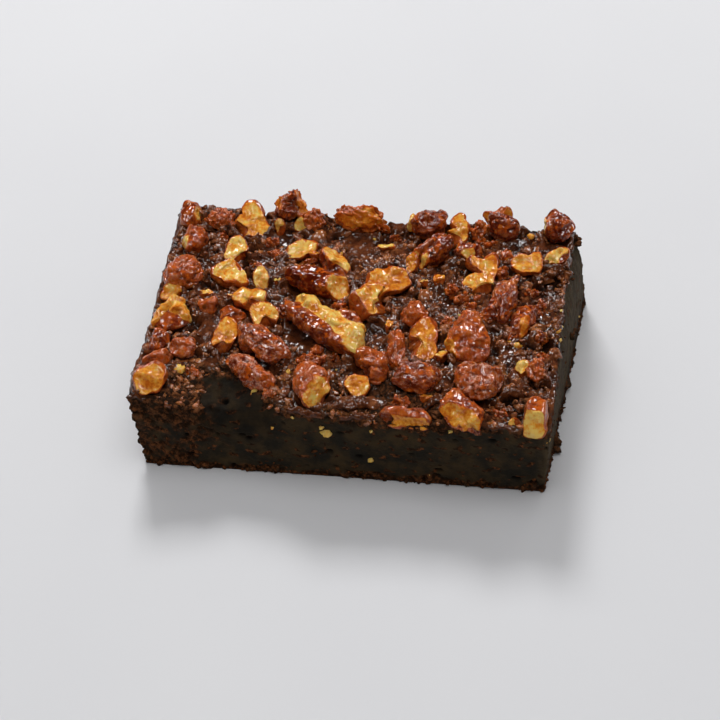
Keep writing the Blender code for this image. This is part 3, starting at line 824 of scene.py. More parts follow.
        47: NutForm((Lobe(-0.6, 2.8, 4.2, 2.2, 3.0, 0), Lobe(2.8, -0.4, 2.0, 4.8, 3.0, 0),
                     Lobe(1.0, 1.4, 3.0, 2.8, 3.3, -48)), (), (Pit(-2.6, -2.4, 1.0, 2.9),),
                    Surface.FOLDED, 0.8, 0.5, 0.25, (1.6, 1.4), 5),
        48: skin_lump(5.9, 2.7, 100, 0.75, 0.2, Surface.RIDGED, (Facet(-60, 60, 2.2, False),)),
        49: chunk((Lobe(0, 0, 4.8, 3.7, 3.4, 52),), (Facet(-70, 58, 1.3),), 0.8, 0.8, chips=0, scoops=0),
        50: skin_lump(4.1, 2.2, 26, 1.1, 0.35, Surface.SMOOTH, (), 2.6),
        51: NutForm((Lobe(-0.8, 1.2, 5.2, 4.6, 4.0, -50), Lobe(1.0, -2.0, 4.4, 3.8, 3.8, -66)),
                    (Facet(-48, 36, 2.7), Facet(-110, 62, 3.6, False)), (Pit(4.8, -1.0, 1.4, 1.5),),
                    Surface.LUMPY, 0.85, 0.6, 0.5, (0.0, 0.0), 5, 0),
        52: chunk((Lobe(0, 0, 3.4, 2.8, 2.8, -20), Lobe(0.6, -0.4, 2.8, 2.6, 2.6, 30)),
                  (Facet(-84, 70, 0.5),), 0.6, 0.7, chips=1, scoops=0),
        53: NutForm((Lobe(0, 0, 6.4, 4.4, 3.2, -12),), (Facet(-96, 76, 2.3, False),
                                                        Facet(-102, 16, 3.3, False),
                                                        Facet(-12, 10, 5.2, False),
                                                        Facet(166, 20, 5.0, False),
                                                        Facet(78, 20, 3.4, False)), (), Surface.RIDGED,
                    0.2, 0.5, 0.45, (0.0, 0.0), 3),
        54: NutForm((Lobe(0, 0, 6.2, 5.2, 3.6, 8), Lobe(-2.6, 1.6, 3.6, 3.2, 3.8, 0),
                     Lobe(2.4, 1.6, 3.6, 3.0, 3.8, 20)), (Facet(-80, 74, 3.1, False),
                                                          Facet(-96, 24, 4.4, False),
                                                          Facet(-8, 20, 5.3, False),
                                                          Facet(186, 24, 5.2, False)), (), Surface.LUMPY,
                    0.6, 0.4, 0.9, (0.0, 0.0), 4),
        55: NutForm((Lobe(-2.2, 0.4, 4.6, 2.6, 3.0, -4), Lobe(2.6, 0, 4.4, 2.6, 3.0, -10)),
                    (Facet(-92, 14, 1.5), Facet(-90, 66, 2.5, False)), (), Surface.SMOOTH, 0.45, 0.8, 0.3,
                    (0.0, 0.0), 3, 1),
        56: NutForm((Lobe(-2.6, 2.0, 4.2, 4.4, 4.0, 110), Lobe(2.0, -0.6, 5.4, 3.2, 3.8, -40),
                     Lobe(-1.0, 0.8, 4.4, 3.8, 4.2, 0)), (Facet(-100, 32, 2.3),),
                    (Pit(-1.4, -5.4, -0.6, 2.4),), Surface.LUMPY, 0.45, 0.75, 0.3),
        57: NutForm((Lobe(0, 0.6, 5.6, 3.6, 4.2, 90),), (Facet(-92, 34, 1.4), Facet(-90, 2, 4.2),
                                                         Facet(0, 6, 2.6, False),
                                                         Facet(180, 6, 2.6, False),
                                                         Facet(90, 80, 3.3, False)), (), Surface.SMOOTH,
                    0.7, 0.15, 0.3, (0.0, 0.0), 2, 0),
    }
    return {f"pecan_{number:02d}": form for number, form in forms.items()}


@dataclass(frozen=True)
class SmallBit:
    """A nut piece too small for a node of its own, placed in mm from the middle of the nut next to it.

    Attributes:
        near: the number of the nut next to it.
        x: how far it is to the right.
        y: how far it is to the back.
        half_x: half its width.
        half_y: half its depth.
        rise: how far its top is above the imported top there.
        form: its shape and tones.
    """

    near: int
    x: float
    y: float
    half_x: float
    half_y: float
    rise: float
    form: NutForm

    def box(self, top: "Top") -> tuple[np.ndarray, np.ndarray]:
        """Its lowest and highest corners in mm."""
        low, high = (np.array(corner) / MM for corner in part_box(f"pecan_{self.near:02d}"))
        plan = (low + high)[:2] / 2 + np.array([self.x, self.y])
        half = np.array([self.half_x, self.half_y])
        level = float(top.packed(plan[None])[0])
        return np.array([*(plan - half), level - 0.5]), np.array([*(plan + half), level + self.rise])


def flesh_bit(turn: float, tone: float = 0.3, look: float = 90.0, tilt: float = 78.0) -> NutForm:
    """A small flat chip of flesh with a rim of skin below."""
    lobes = (Lobe(0, 0, 3.0, 2.2, 2.4, turn), Lobe(0.8, 0.5, 2.0, 1.9, 2.2, turn))
    return chunk(lobes, (Facet(look, tilt, 0.5),), 0.8, tone)


def skin_bit(turn: float, tone: float = 0.5, frost: float = 0.1) -> NutForm:
    """A small lump of skin."""
    return skin_lump(2.6, 2.1, turn, tone, frost, Surface.GRANULAR, (), 2.2)


def small_bits() -> tuple[SmallBit, ...]:
    """The larger of the small nut pieces between the chopped pecans."""
    rows = (
        (19, -9.8, -4.1, 1.5, 2.0, 2.6, flesh_bit(80, 0.9)),
        (36, -5.8, -3.5, 1.0, 1.7, 2.2, flesh_bit(80, 0.5)),
        (38, -6.4, 5.6, 1.6, 1.7, 3.0, skin_bit(20, 0.75, 0.5)),
        (38, -1.6, 8.4, 1.7, 2.2, 3.4, skin_bit(80, 0.6, 0.4)),
        (38, -6.3, -5.3, 1.9, 1.7, 2.4, flesh_bit(30, 0.4)),
        (24, 4.2, 0.0, 0.7, 1.1, 1.6, flesh_bit(60, 0.2)),
        (17, -12.3, 1.5, 2.4, 1.3, 2.0, flesh_bit(-32, 0.4)),
        (30, -1.6, 4.6, 1.9, 1.2, 2.2, flesh_bit(25, 0.5)),
        (57, -5.0, -1.6, 1.5, 1.3, 1.5, flesh_bit(10, 0.2, -90, 50)),
        (16, -5.4, 3.1, 1.5, 1.7, 3.4, flesh_bit(60, 1.2)),
        (40, -3.6, 0.6, 2.0, 2.0, 2.8, flesh_bit(-50, 0.3, 200, 60)),
        (17, -4.4, -4.6, 1.8, 3.2, 3.6, flesh_bit(65, 0.9, 230, 55)),
        (4, -2.2, -4.6, 1.6, 1.8, 3.2, flesh_bit(-50, 0.3, 250, 50)),
        (4, 3.6, -4.2, 2.1, 1.8, 3.6, flesh_bit(30, 0.15, 260, 60)),
        (3, 6.0, -6.4, 1.9, 1.5, 2.4, skin_bit(10, 0.85, 0.2)),
        (10, -2.2, -4.6, 2.0, 1.3, 2.4, skin_bit(10, 0.7, 0.2)),
        (20, -5.6, 2.6, 2.0, 1.9, 2.4, skin_lump(3.0, 2.4, 60, 0.7, 0.1, Surface.RIDGED, (), 2.4)),
        (27, -1.4, 9.0, 1.6, 2.0, 3.2, skin_bit(60, 0.8)),
        (27, 7.6, -2.6, 2.2, 2.0, 2.6, skin_bit(30, 0.4, 0.3)),
        (26, 0.4, 5.6, 2.0, 1.3, 3.2, skin_bit(0, 0.4, 0.4)),
        (45, 3.8, -3.4, 1.8, 1.4, 2.4, skin_bit(20, 1.6, 1.6)),
        (45, 5.6, -5.6, 1.8, 1.2, 2.2, skin_bit(-20, 1.6, 1.6)),
        (45, 1.6, -4.6, 1.0, 0.9, 1.3, flesh_bit(50, 0.1, -90, 60)),
        (46, 1.0, 4.0, 1.9, 1.4, 2.2, skin_bit(-30, 0.7, 0.3)),
        (33, 5.4, 3.0, 1.6, 1.3, 2.2, skin_bit(60, 0.4, 0.1)),
        (19, -6.4, -6.6, 1.8, 1.6, 2.8, skin_bit(20, 0.9)),
        (19, -3.4, -9.2, 1.9, 1.7, 3.0, skin_bit(50, 0.6, 0.2)),
        (19, 0.4, -8.6, 1.5, 1.4, 2.4, skin_bit(10, 0.8, 0.1)),
        (39, 5.0, -4.0, 1.8, 1.6, 2.2, skin_bit(0, 0.5, 0.2)),
        (40, 0.6, 5.4, 1.5, 1.3, 1.8, skin_bit(40, 0.6, 0.2)),
        (34, -10.8, 4.6, 2.4, 1.8, 2.6, skin_bit(-30, 0.3, 0.2)),
        (34, -8.6, 7.4, 1.2, 1.6, 2.2, flesh_bit(80, 0.9)),
        (25, -3.4, 8.2, 2.2, 1.6, 2.4, skin_bit(20, 0.6, 0.2)),
        (34, 2.8, 9.0, 2.0, 2.2, 2.2, skin_bit(70, 0.8, 0.0)),
        (38, -1.8, 12.2, 2.0, 1.6, 2.6, skin_bit(10, 0.9, 0.1)),
        (18, 2.6, 5.2, 1.5, 1.4, 2.2, skin_bit(40, 0.9, 0.2)),
        (18, -5.2, 4.4, 1.2, 1.0, 1.6, flesh_bit(30, 0.3)),
        (3, 7.6, -11.0, 1.9, 1.5, 2.2, skin_bit(-20, 0.7, 0.2)),
        (24, -6.2, -6.0, 1.4, 1.2, 1.4, flesh_bit(10, 0.5)),
        (27, -3.8, -6.4, 2.2, 2.4, 3.0, skin_bit(50, 0.6, 0.2)),
        (39, 3.8, 5.6, 1.9, 2.4, 2.6, skin_bit(60, 0.4, 0.3)),
        (27, 6.8, 3.4, 1.8, 1.6, 2.2, skin_bit(10, 0.5, 0.1)),
        (26, 8.2, 3.0, 1.3, 1.0, 1.6, flesh_bit(-10, 0.4)),
        (55, -1.6, 4.2, 2.2, 1.7, 2.6, skin_bit(0, 0.8, 0.4)),
        (55, 4.2, 5.4, 1.6, 1.1, 2.0, flesh_bit(80, 0.8)),
        (57, -8.6, 0.6, 2.2, 1.6, 1.8, skin_bit(20, 0.4, 0.3)),
        (42, 3.6, -6.4, 1.9, 1.6, 1.8, skin_bit(30, 0.7, 0.0)),
        (46, 5.2, 2.4, 1.7, 1.5, 2.0, skin_bit(60, 0.6, 0.3)),
        (6, 8.6, -3.0, 1.7, 1.3, 2.0, skin_bit(0, 0.7, 0.2)),
        (14, 5.6, -4.6, 1.8, 1.5, 2.2, skin_bit(30, 0.5, 0.2)),
        (13, 5.8, 3.4, 1.8, 1.7, 2.2, skin_bit(60, 0.7, 0.2)),
    )
    return tuple(SmallBit(*row) for row in rows)


class Pecan:
    """One chopped pecan, worked out from its form and fitted to its box."""

    UNION = 9.0
    BREAK = 20.0
    SPACING = 0.28
    FEWEST, MOST = 20, 66
    SINK = 1.6
    MISSED = 0.05
    NEAREST = 0.3
    CHIP_LOWEST = -25.0
    CHIP_TILT = 62.0
    CHIP_TILT_BROKEN = 2.0
    CHIP_CLEAR = 0.55
    CHIP_DEPTHS = (0.72, 0.94)
    SCOOP_RADII = (2.0, 4.5)
    SCOOP_OUT = (0.88, 0.97)
    SCOOP_FLESH = 0.3
    SCOOP_LOWEST = -0.3
    SCOOP_POINTS = 20
    GRAIN_SIZE = 1.2
    SKIN_THICKNESS = 0.1
    FLESH_SPAN = 0.7
    MOSTLY_FLESH = 0.55

    def __init__(
        self, name: str, low: np.ndarray, high: np.ndarray, form: NutForm, top: "Top", seed: int
    ) -> None:
        """Takes the nut's box in mm, its form and the top that it stands on."""
        self.name, self.form, self.top = name, form, top
        self.low, self.high = low, high
        self.centre = (low + high) / 2
        self.half = (high - low) / 2
        self.seed = seed
        self.rng = np.random.default_rng(seed)

    def _reach(self, rays: np.ndarray, lobe: Lobe) -> np.ndarray:
        """How far each ray from the nut's heart goes before it leaves the lobe, or next to nothing.

        In the frame in which the lobe is a ball of radius 1, it is the far root of the ray's quadratic.
        """
        turn = math.radians(lobe.turn)
        c, s = math.cos(turn), math.sin(turn)
        spin = np.array([[c, s, 0], [-s, c, 0], [0, 0, 1]])
        size = np.array([lobe.long, lobe.wide, lobe.high])
        heart = self.form.heart
        centre = spin @ np.array([lobe.x - heart[0], lobe.y - heart[1], 0.0]) / size
        ways = rays @ spin.T / size
        squared, toward = (ways**2).sum(-1), ways @ centre
        room = toward**2 - squared * (centre @ centre - 1)
        root = toward + np.sqrt(np.maximum(room, 0))
        return np.maximum(root / squared, self.MISSED)

    def _joined(self, rays: np.ndarray, lobes: list[Lobe]) -> np.ndarray:
        """The reach of several lobes together: a power mean that rounds the valleys between them."""
        return sum(self._reach(rays, lobe) ** self.UNION for lobe in lobes) ** (1 / self.UNION)

    def _chipped(self, rays: np.ndarray, whole: np.ndarray) -> np.ndarray:
        """Knocks off corners all round: adds up how close each ray's reach comes to each plane."""
        closeness = self._cut((1 / whole) ** self.BREAK, rays, bare=False)
        broken = [facet.normal() for facet in self.form.facets if facet.bare]
        steepest = self.CHIP_TILT_BROKEN if broken else self.CHIP_TILT
        for _ in range(self.form.chips):
            turn, tilt = self.rng.uniform(0, 360), self.rng.uniform(self.CHIP_LOWEST, steepest)
            normal = Facet(turn, tilt, 1.0).normal()
            if any(normal @ other > self.CHIP_CLEAR for other in broken):
                continue
            facing = np.maximum(rays @ normal, 0)
            depth = (whole * facing).max() * self.rng.uniform(*self.CHIP_DEPTHS)
            closeness += (facing / depth) ** self.BREAK
        return closeness

    def _cut(self, closeness: np.ndarray, rays: np.ndarray, bare: bool) -> np.ndarray:
        """Adds how close each ray's reach comes to each of the form's bare faces, or of its others."""
        for facet in self.form.facets:
            if facet.bare is bare:
                closeness = closeness + (np.maximum(rays @ facet.normal(), 0) / facet.depth) ** self.BREAK
        return closeness

    def _hollowed(self, rays: np.ndarray, radii: np.ndarray, centre: np.ndarray, radius: float) -> np.ndarray:
        """Takes a ball out: a ray that enters it before it leaves the nut stops at the near root."""
        toward = rays @ centre
        room = toward**2 - centre @ centre + radius**2
        root = np.sqrt(np.maximum(room, 0))
        taken = (room > 0) & (toward - root < radii) & (radii < toward + root)
        return np.where(taken, np.maximum(toward - root, self.NEAREST), radii)

    def _radii(self, rays: np.ndarray) -> tuple[np.ndarray, np.ndarray]:
        """The nut's radius along each ray, and how many mm of it are broken away to bare flesh."""
        skins = [lobe for lobe in self.form.lobes if not lobe.flesh]
        bare = [lobe for lobe in self.form.lobes if lobe.flesh]
        closeness = self._chipped(rays, self._joined(rays, list(self.form.lobes)))
        kernel = closeness ** (-1 / self.BREAK)
        radii = self._cut(closeness, rays, bare=True) ** (-1 / self.BREAK)
        flesh = kernel - radii - self.SKIN_THICKNESS
        if bare:
            flesh = np.maximum(flesh, self._joined(rays, bare) - self._joined(rays, skins))
        for pit in self.form.pits:
            centre = np.array([pit.x - self.form.heart[0], pit.y - self.form.heart[1], pit.z])
            radii = self._hollowed(rays, radii, centre, pit.radius)
        broken = np.flatnonzero((flesh > self.SCOOP_FLESH) & (rays[:, 2] > self.SCOOP_LOWEST))
        for _ in range(self.form.scoops if len(broken) > self.SCOOP_POINTS else 0):
            spot = self.rng.choice(broken)
            radius = self.rng.uniform(*self.SCOOP_RADII)
            centre = rays[spot] * (radii[spot] + radius * self.rng.uniform(*self.SCOOP_OUT))
            radii = self._hollowed(rays, radii, centre, radius)
        return radii, flesh

    def build(self, material: bpy.types.Material) -> bpy.types.Object:
        """Builds the nut: radii over a ball's directions, fitted to the box, warped and then wrinkled."""
        reach = max(self.half[0], self.half[1])
        across = int(np.clip(reach * math.pi / 2 / self.SPACING, self.FEWEST, self.MOST))
        rays, quads = ball_skin(across)
        rays = rays * np.maximum(self.half, 2.0)
        rays /= np.linalg.norm(rays, axis=-1, keepdims=True)
        radii, flesh = self._radii(rays)
        local = rays * radii[:, None]
        away = local + self.seed * 31.7
        small_warp = swirl(away, 1.4, self.seed + 20) * self.form.surface.value[2]
        points = self._fitted(local + swirl(away, 3.0, self.seed) * 0.6 + small_warp)
        flesh = flesh + noise(points, 1.6, 5) * 0.16
        share = np.clip(0.5 + flesh / self.FLESH_SPAN, 0, 1)
        points, relief = self._wrinkled(points, quads, ramp(share, 0.42, 0.6))
        form = self.form
        made = piece(
            self.name, points, quads, material, flesh=share, relief=relief, skin_tone=form.skin_tone,
            flesh_tone=form.flesh_tone, frost=form.frost,
        )
        return made

    def _fitted(self, local: np.ndarray) -> np.ndarray:
        """Stretches the nut to its packed box in plan, up to the box's top and down into the crust."""
        low, high = local.min(0), local.max(0)
        ground = float(self.top.packed(self.centre[None, :2])[0]) - self.SINK
        bottom = min(self.low[2], ground)
        target_low = np.array([*self.low[:2], bottom])
        scale = (self.high - target_low) / (high - low)
        return target_low + (local - low) * scale

    def _wrinkled(
        self, points: np.ndarray, quads: np.ndarray, bare: np.ndarray
    ) -> tuple[np.ndarray, np.ndarray]:
        """Moves the skin in and out: ridges along the nut, grain and lumps. Bare flesh has soft waves.

        Args:
            points: N by 3, in mm.
            quads: M by 4 indices.
            bare: 1 on bare flesh and 0 on skin.

        Returns:
            The moved points, and their relief from -1 to 1.
        """
        ridge, grain, _, swell = self.form.surface.value
        turn = math.radians(self.form.lobes[0].turn)
        c, s = math.cos(turn), math.sin(turn)
        along = points @ np.array([c, s, 0])
        side = points @ np.array([-s, c, 0])
        laid = np.stack([along / 5.5, side / 2.0, points[:, 2] / 2.4], axis=-1)
        folds = 1 - 2 * np.exp(-((noise(laid, 1.0, self.seed + 50) / 0.13) ** 2))
        domes = packed_grains(points, self.GRAIN_SIZE, self.seed + 60) * 2 - 1
        lumps = noise(points, 2.4, self.seed + 61) + 0.4 * noise(points, 1.2, self.seed + 62)
        fine = noise(points, 0.62, self.seed + 70)
        skin = ridge * folds + grain * domes + swell * lumps + 0.02 * fine
        waves = noise(points, 2.6, self.seed + 81) + 0.4 * noise(points, 1.2, self.seed + 82)
        flesh = 0.32 * waves + 0.04 * fine
        relief = (folds * 0.55 + domes * 0.3 + lumps * 0.5) * (1 - bare) + (waves * 0.7 + lumps * 0.5) * bare
        moved = points + normals(points, quads) * (skin * (1 - bare) + flesh * bare)[:, None]
        return moved, np.clip(relief, -1, 1)


# ---------------------------------------------------------------------------------------------------------
# The slice
# ---------------------------------------------------------------------------------------------------------


class Ground(Enum):
    """What a patch of the top is like: its change of height in mm, and how smooth, dark and wet it is. The
    darkness mixes in the near-black pit colour: painted shade in the torn holes, and a darker tone in the
    pools.
    """

    POOL = (-0.7, 0.85, 0.35, 1.0)
    BARE = (0.3, 0.95, 0.0, 0.15)
    TORN = (-2.6, 0.1, 1.0, 0.0)


@dataclass(frozen=True)
class Patch:
    """An oval patch of the top, in mm from the slice's middle, turned in degrees."""

    ground: Ground
    x: float
    y: float
    long: float
    wide: float
    turn: float = 0.0

    WAVES = 2.2
    WAVINESS = 0.35

    def share(self, away: np.ndarray) -> np.ndarray:
        """1 in the patch and 0 outside: a ramp over the oval's radius, with a wavy edge."""
        c, s = math.cos(math.radians(self.turn)), math.sin(math.radians(self.turn))
        x, y = away[:, 0] - self.x, away[:, 1] - self.y
        along, side = (x * c + y * s) / self.long, (y * c - x * s) / self.wide
        wavy = noise(flattened(away, self.x), self.WAVES, 90) * self.WAVINESS
        return ramp(np.hypot(along, side) + wavy, 1.2, 0.75)


PATCHES = (
    Patch(Ground.POOL, 36.4, 28.4, 4.8, 2.4, 10), Patch(Ground.POOL, 4.8, 27.8, 4.2, 1.8),
    Patch(Ground.POOL, -24.4, 24.2, 3.6, 3.0), Patch(Ground.POOL, -27.6, 15.2, 2.4, 2.0),
    Patch(Ground.POOL, 5.4, -5.4, 2.6, 2.0), Patch(Ground.POOL, 20.6, 7.4, 3.0, 2.4),
    Patch(Ground.POOL, 8.4, -13.0, 1.6, 3.4), Patch(Ground.POOL, -41.0, 14.4, 1.8, 3.0),
    Patch(Ground.BARE, -3.6, 22.4, 3.6, 5.0, 20), Patch(Ground.BARE, 45.2, 27.0, 3.8, 1.9),
    Patch(Ground.BARE, 4.2, 31.8, 2.6, 1.6), Patch(Ground.BARE, -37.4, -9.0, 2.2, 7.0, 6),
    Patch(Ground.BARE, -19.6, 6.6, 1.6, 3.0), Patch(Ground.BARE, -33.2, -19.4, 3.4, 1.8),
    Patch(Ground.TORN, 46.6, 15.4, 2.8, 2.4), Patch(Ground.TORN, 43.4, 13.0, 2.6, 1.3, -20),
    Patch(Ground.TORN, 47.6, -5.8, 1.6, 3.2, 8), Patch(Ground.TORN, 41.6, -24.4, 3.6, 0.9, 24),
    Patch(Ground.TORN, 25.6, 15.4, 1.3, 2.2), Patch(Ground.TORN, 18.0, 30.4, 0.9, 1.4),
    Patch(Ground.TORN, -6.0, 1.2, 1.8, 1.2), Patch(Ground.TORN, 36.0, -27.6, 3.6, 0.8, -4),
    Patch(Ground.TORN, 24.0, -13.6, 1.0, 2.2), Patch(Ground.TORN, -31.0, 14.0, 1.4, 1.8),
)


class Top:
    """The slice's baked top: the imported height, with crust, hollows and the crust's rise round each nut."""

    RISE_BELOW = 2.2
    RISE_MOST = 1.3
    RISE_REACH = 1.5
    BED_DEPTH = 1.4
    CREVICE_OUT = 0.2
    CREVICE_WIDE = 0.9
    GRAIN_HEIGHT = 1.1
    HOLLOW_DEPTH = 1.5
    SUNK_EVEN = 0.85
    SUNK_FROM, SUNK_WHOLE = -16.0, -20.0
    WIPED_LEFT = 37.0
    WIPED_RIGHT = 4.0
    WIPED_SLOPES = (0.2, 1.6)
    WIPED_WANDER = 2.6
    WIPED_FADE = 3.0
    FRONT = 34.0
    TORN_OPEN = 0.55

    def __init__(self, form: SliceForm) -> None:
        """Reads where the nuts stand."""
        self.form = form
        boxes = [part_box(node) for node in sorted(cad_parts) if node != SLICE_NODE]
        lows = np.array([box[0][:] for box in boxes]) / MM
        highs = np.array([box[1][:] for box in boxes]) / MM
        self.nut_middles = (lows + highs)[:, :2] / 2
        self.nut_halves = (highs - lows)[:, :2] / 2
        self.nut_tops = highs[:, 2]
        self.usual = float(np.median(form.top[:, 2]))

    def packed(self, plan: np.ndarray) -> np.ndarray:
        """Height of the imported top."""
        return self.form.level(plan)

    def nut_gaps(self, plan: np.ndarray) -> np.ndarray:
        """Distance in mm to each nut's outline, taken as the ellipse in its box. It is negative inside."""
        shares = (plan[None] - self.nut_middles[:, None]) / self.nut_halves[:, None]
        return (np.linalg.norm(shares, axis=-1) - 1) * self.nut_halves.mean(-1)[:, None]

    def nut_gap(self, plan: np.ndarray) -> np.ndarray:
        """Distance in mm to the nearest nut's outline."""
        return self.nut_gaps(plan).min(0)

    def slumped(self, plan: np.ndarray, packed: np.ndarray) -> np.ndarray:
        """1 where the top is sunk at the front left, with a wandering edge, and 0 elsewhere."""
        front = ramp(plan[:, 1] - self.form.middle[1], self.SUNK_FROM, self.SUNK_WHOLE)
        wander = noise(flattened(plan), 4.0, 81) * 0.8
        return ramp(self.usual - packed + wander, 0.5, 1.5) * front

    def dragged(self, plan: np.ndarray, packed: np.ndarray) -> np.ndarray:
        """1 where the knife wiped the sunk corner smooth: a triangle that points to the back.

        Its two edges slope by the given shares of the way from the front, and wander.
        """
        x, y = (plan - self.form.middle[:2]).T
        back = y + self.FRONT
        left = x + self.WIPED_LEFT - self.WIPED_SLOPES[0] * back
        right = -self.WIPED_RIGHT - x - self.WIPED_SLOPES[1] * back
        wander = fractal(flattened(plan), 4.4, 3, 83) * self.WIPED_WANDER
        inside = ramp(np.minimum(left, right) + wander, 0.0, self.WIPED_FADE)
        return inside * ramp(self.usual - packed, 1.0, 2.2)

    def relief(self, plan: np.ndarray, packed: np.ndarray) -> tuple[np.ndarray, ...]:
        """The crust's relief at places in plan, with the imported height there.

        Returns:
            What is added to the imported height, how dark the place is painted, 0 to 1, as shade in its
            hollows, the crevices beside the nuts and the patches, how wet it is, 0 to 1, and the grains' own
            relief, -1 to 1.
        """
        flat = flattened(plan)
        gaps = self.nut_gaps(plan)
        gap = gaps.min(0)
        climb = np.clip(self.nut_tops[:, None] - packed[None] - self.RISE_BELOW, 0, self.RISE_MOST)
        rise = (climb * np.exp(-((np.maximum(gaps, 0) / self.RISE_REACH) ** 2))).max(0)
        touching = ramp(noise(flat, 3.6, 30), -0.35, 0.05)
        crevice = (1 - touching) * np.exp(-(((gap - self.CREVICE_OUT) / self.CREVICE_WIDE) ** 2))
        rise = rise * ramp(gap, -1.0, 0.2) * (0.25 + 0.75 * touching)
        rise -= self.BED_DEPTH * np.maximum(ramp(gap, -0.2, -1.4), crevice)
        broad = 0.6 * noise(flat, 7.0, 11) + 0.5 * noise(flat, 3.0, 10)
        smooth = ramp(noise(flat, 6.0, 16), 0.0, 0.3)
        warped = flat + swirl(flat, 2.2, 18) * 0.7
        coarse, small = packed_grains(warped, 2.3, 12), packed_grains(warped, 1.2, 13)
        grain = 0.2 + 0.4 * noise(flat, 2.4, 19) + coarse * 0.6 + small * 0.4 + 0.22 * noise(flat, 0.9, 17)
        hollow = ramp(noise(flat, 4.2, 14), 0.3, 0.55) * ramp(gap, -0.6, 0.8)
        # Painted shade: hollows and the crevices beside the nuts are darkened as well as sunk.
        dark = np.maximum(hollow, 0.8 * crevice)
        wet = ramp(noise(flat, 9.0, 15) + 0.35 * hollow, -0.5, 0.1)
        sunk = np.zeros(len(plan))
        for patch in PATCHES:
            share = patch.share(plan - self.form.middle[:2])
            lift, even, gloom, shine = patch.ground.value
            sunk += lift * share
            smooth = np.maximum(smooth * (1 - share), even * share)
            dark = dark * (1 - share) + gloom * share
            wet = wet * (1 - share) + shine * share
        crinkle = 0.06 * noise(flat, 0.9, 33) * wet
        grains = self.GRAIN_HEIGHT * grain * (1 - 0.75 * smooth)
        height = rise * (1 - 0.5 * hollow) + broad + grains - self.HOLLOW_DEPTH * hollow + sunk + crinkle
        return height, dark, wet, np.clip(grain * 1.6 - 1.0, -1, 1) * (1 - 0.7 * smooth)

    def open_ground(self, plan: np.ndarray) -> np.ndarray:
        """1 on the smooth patches, where nothing is scattered, less in torn ones, and 0 elsewhere."""
        away = plan - self.form.middle[:2]
        weights = [self.TORN_OPEN if patch.ground is Ground.TORN else 1.0 for patch in PATCHES]
        return np.maximum.reduce([patch.share(away) * weight for patch, weight in zip(PATCHES, weights)])


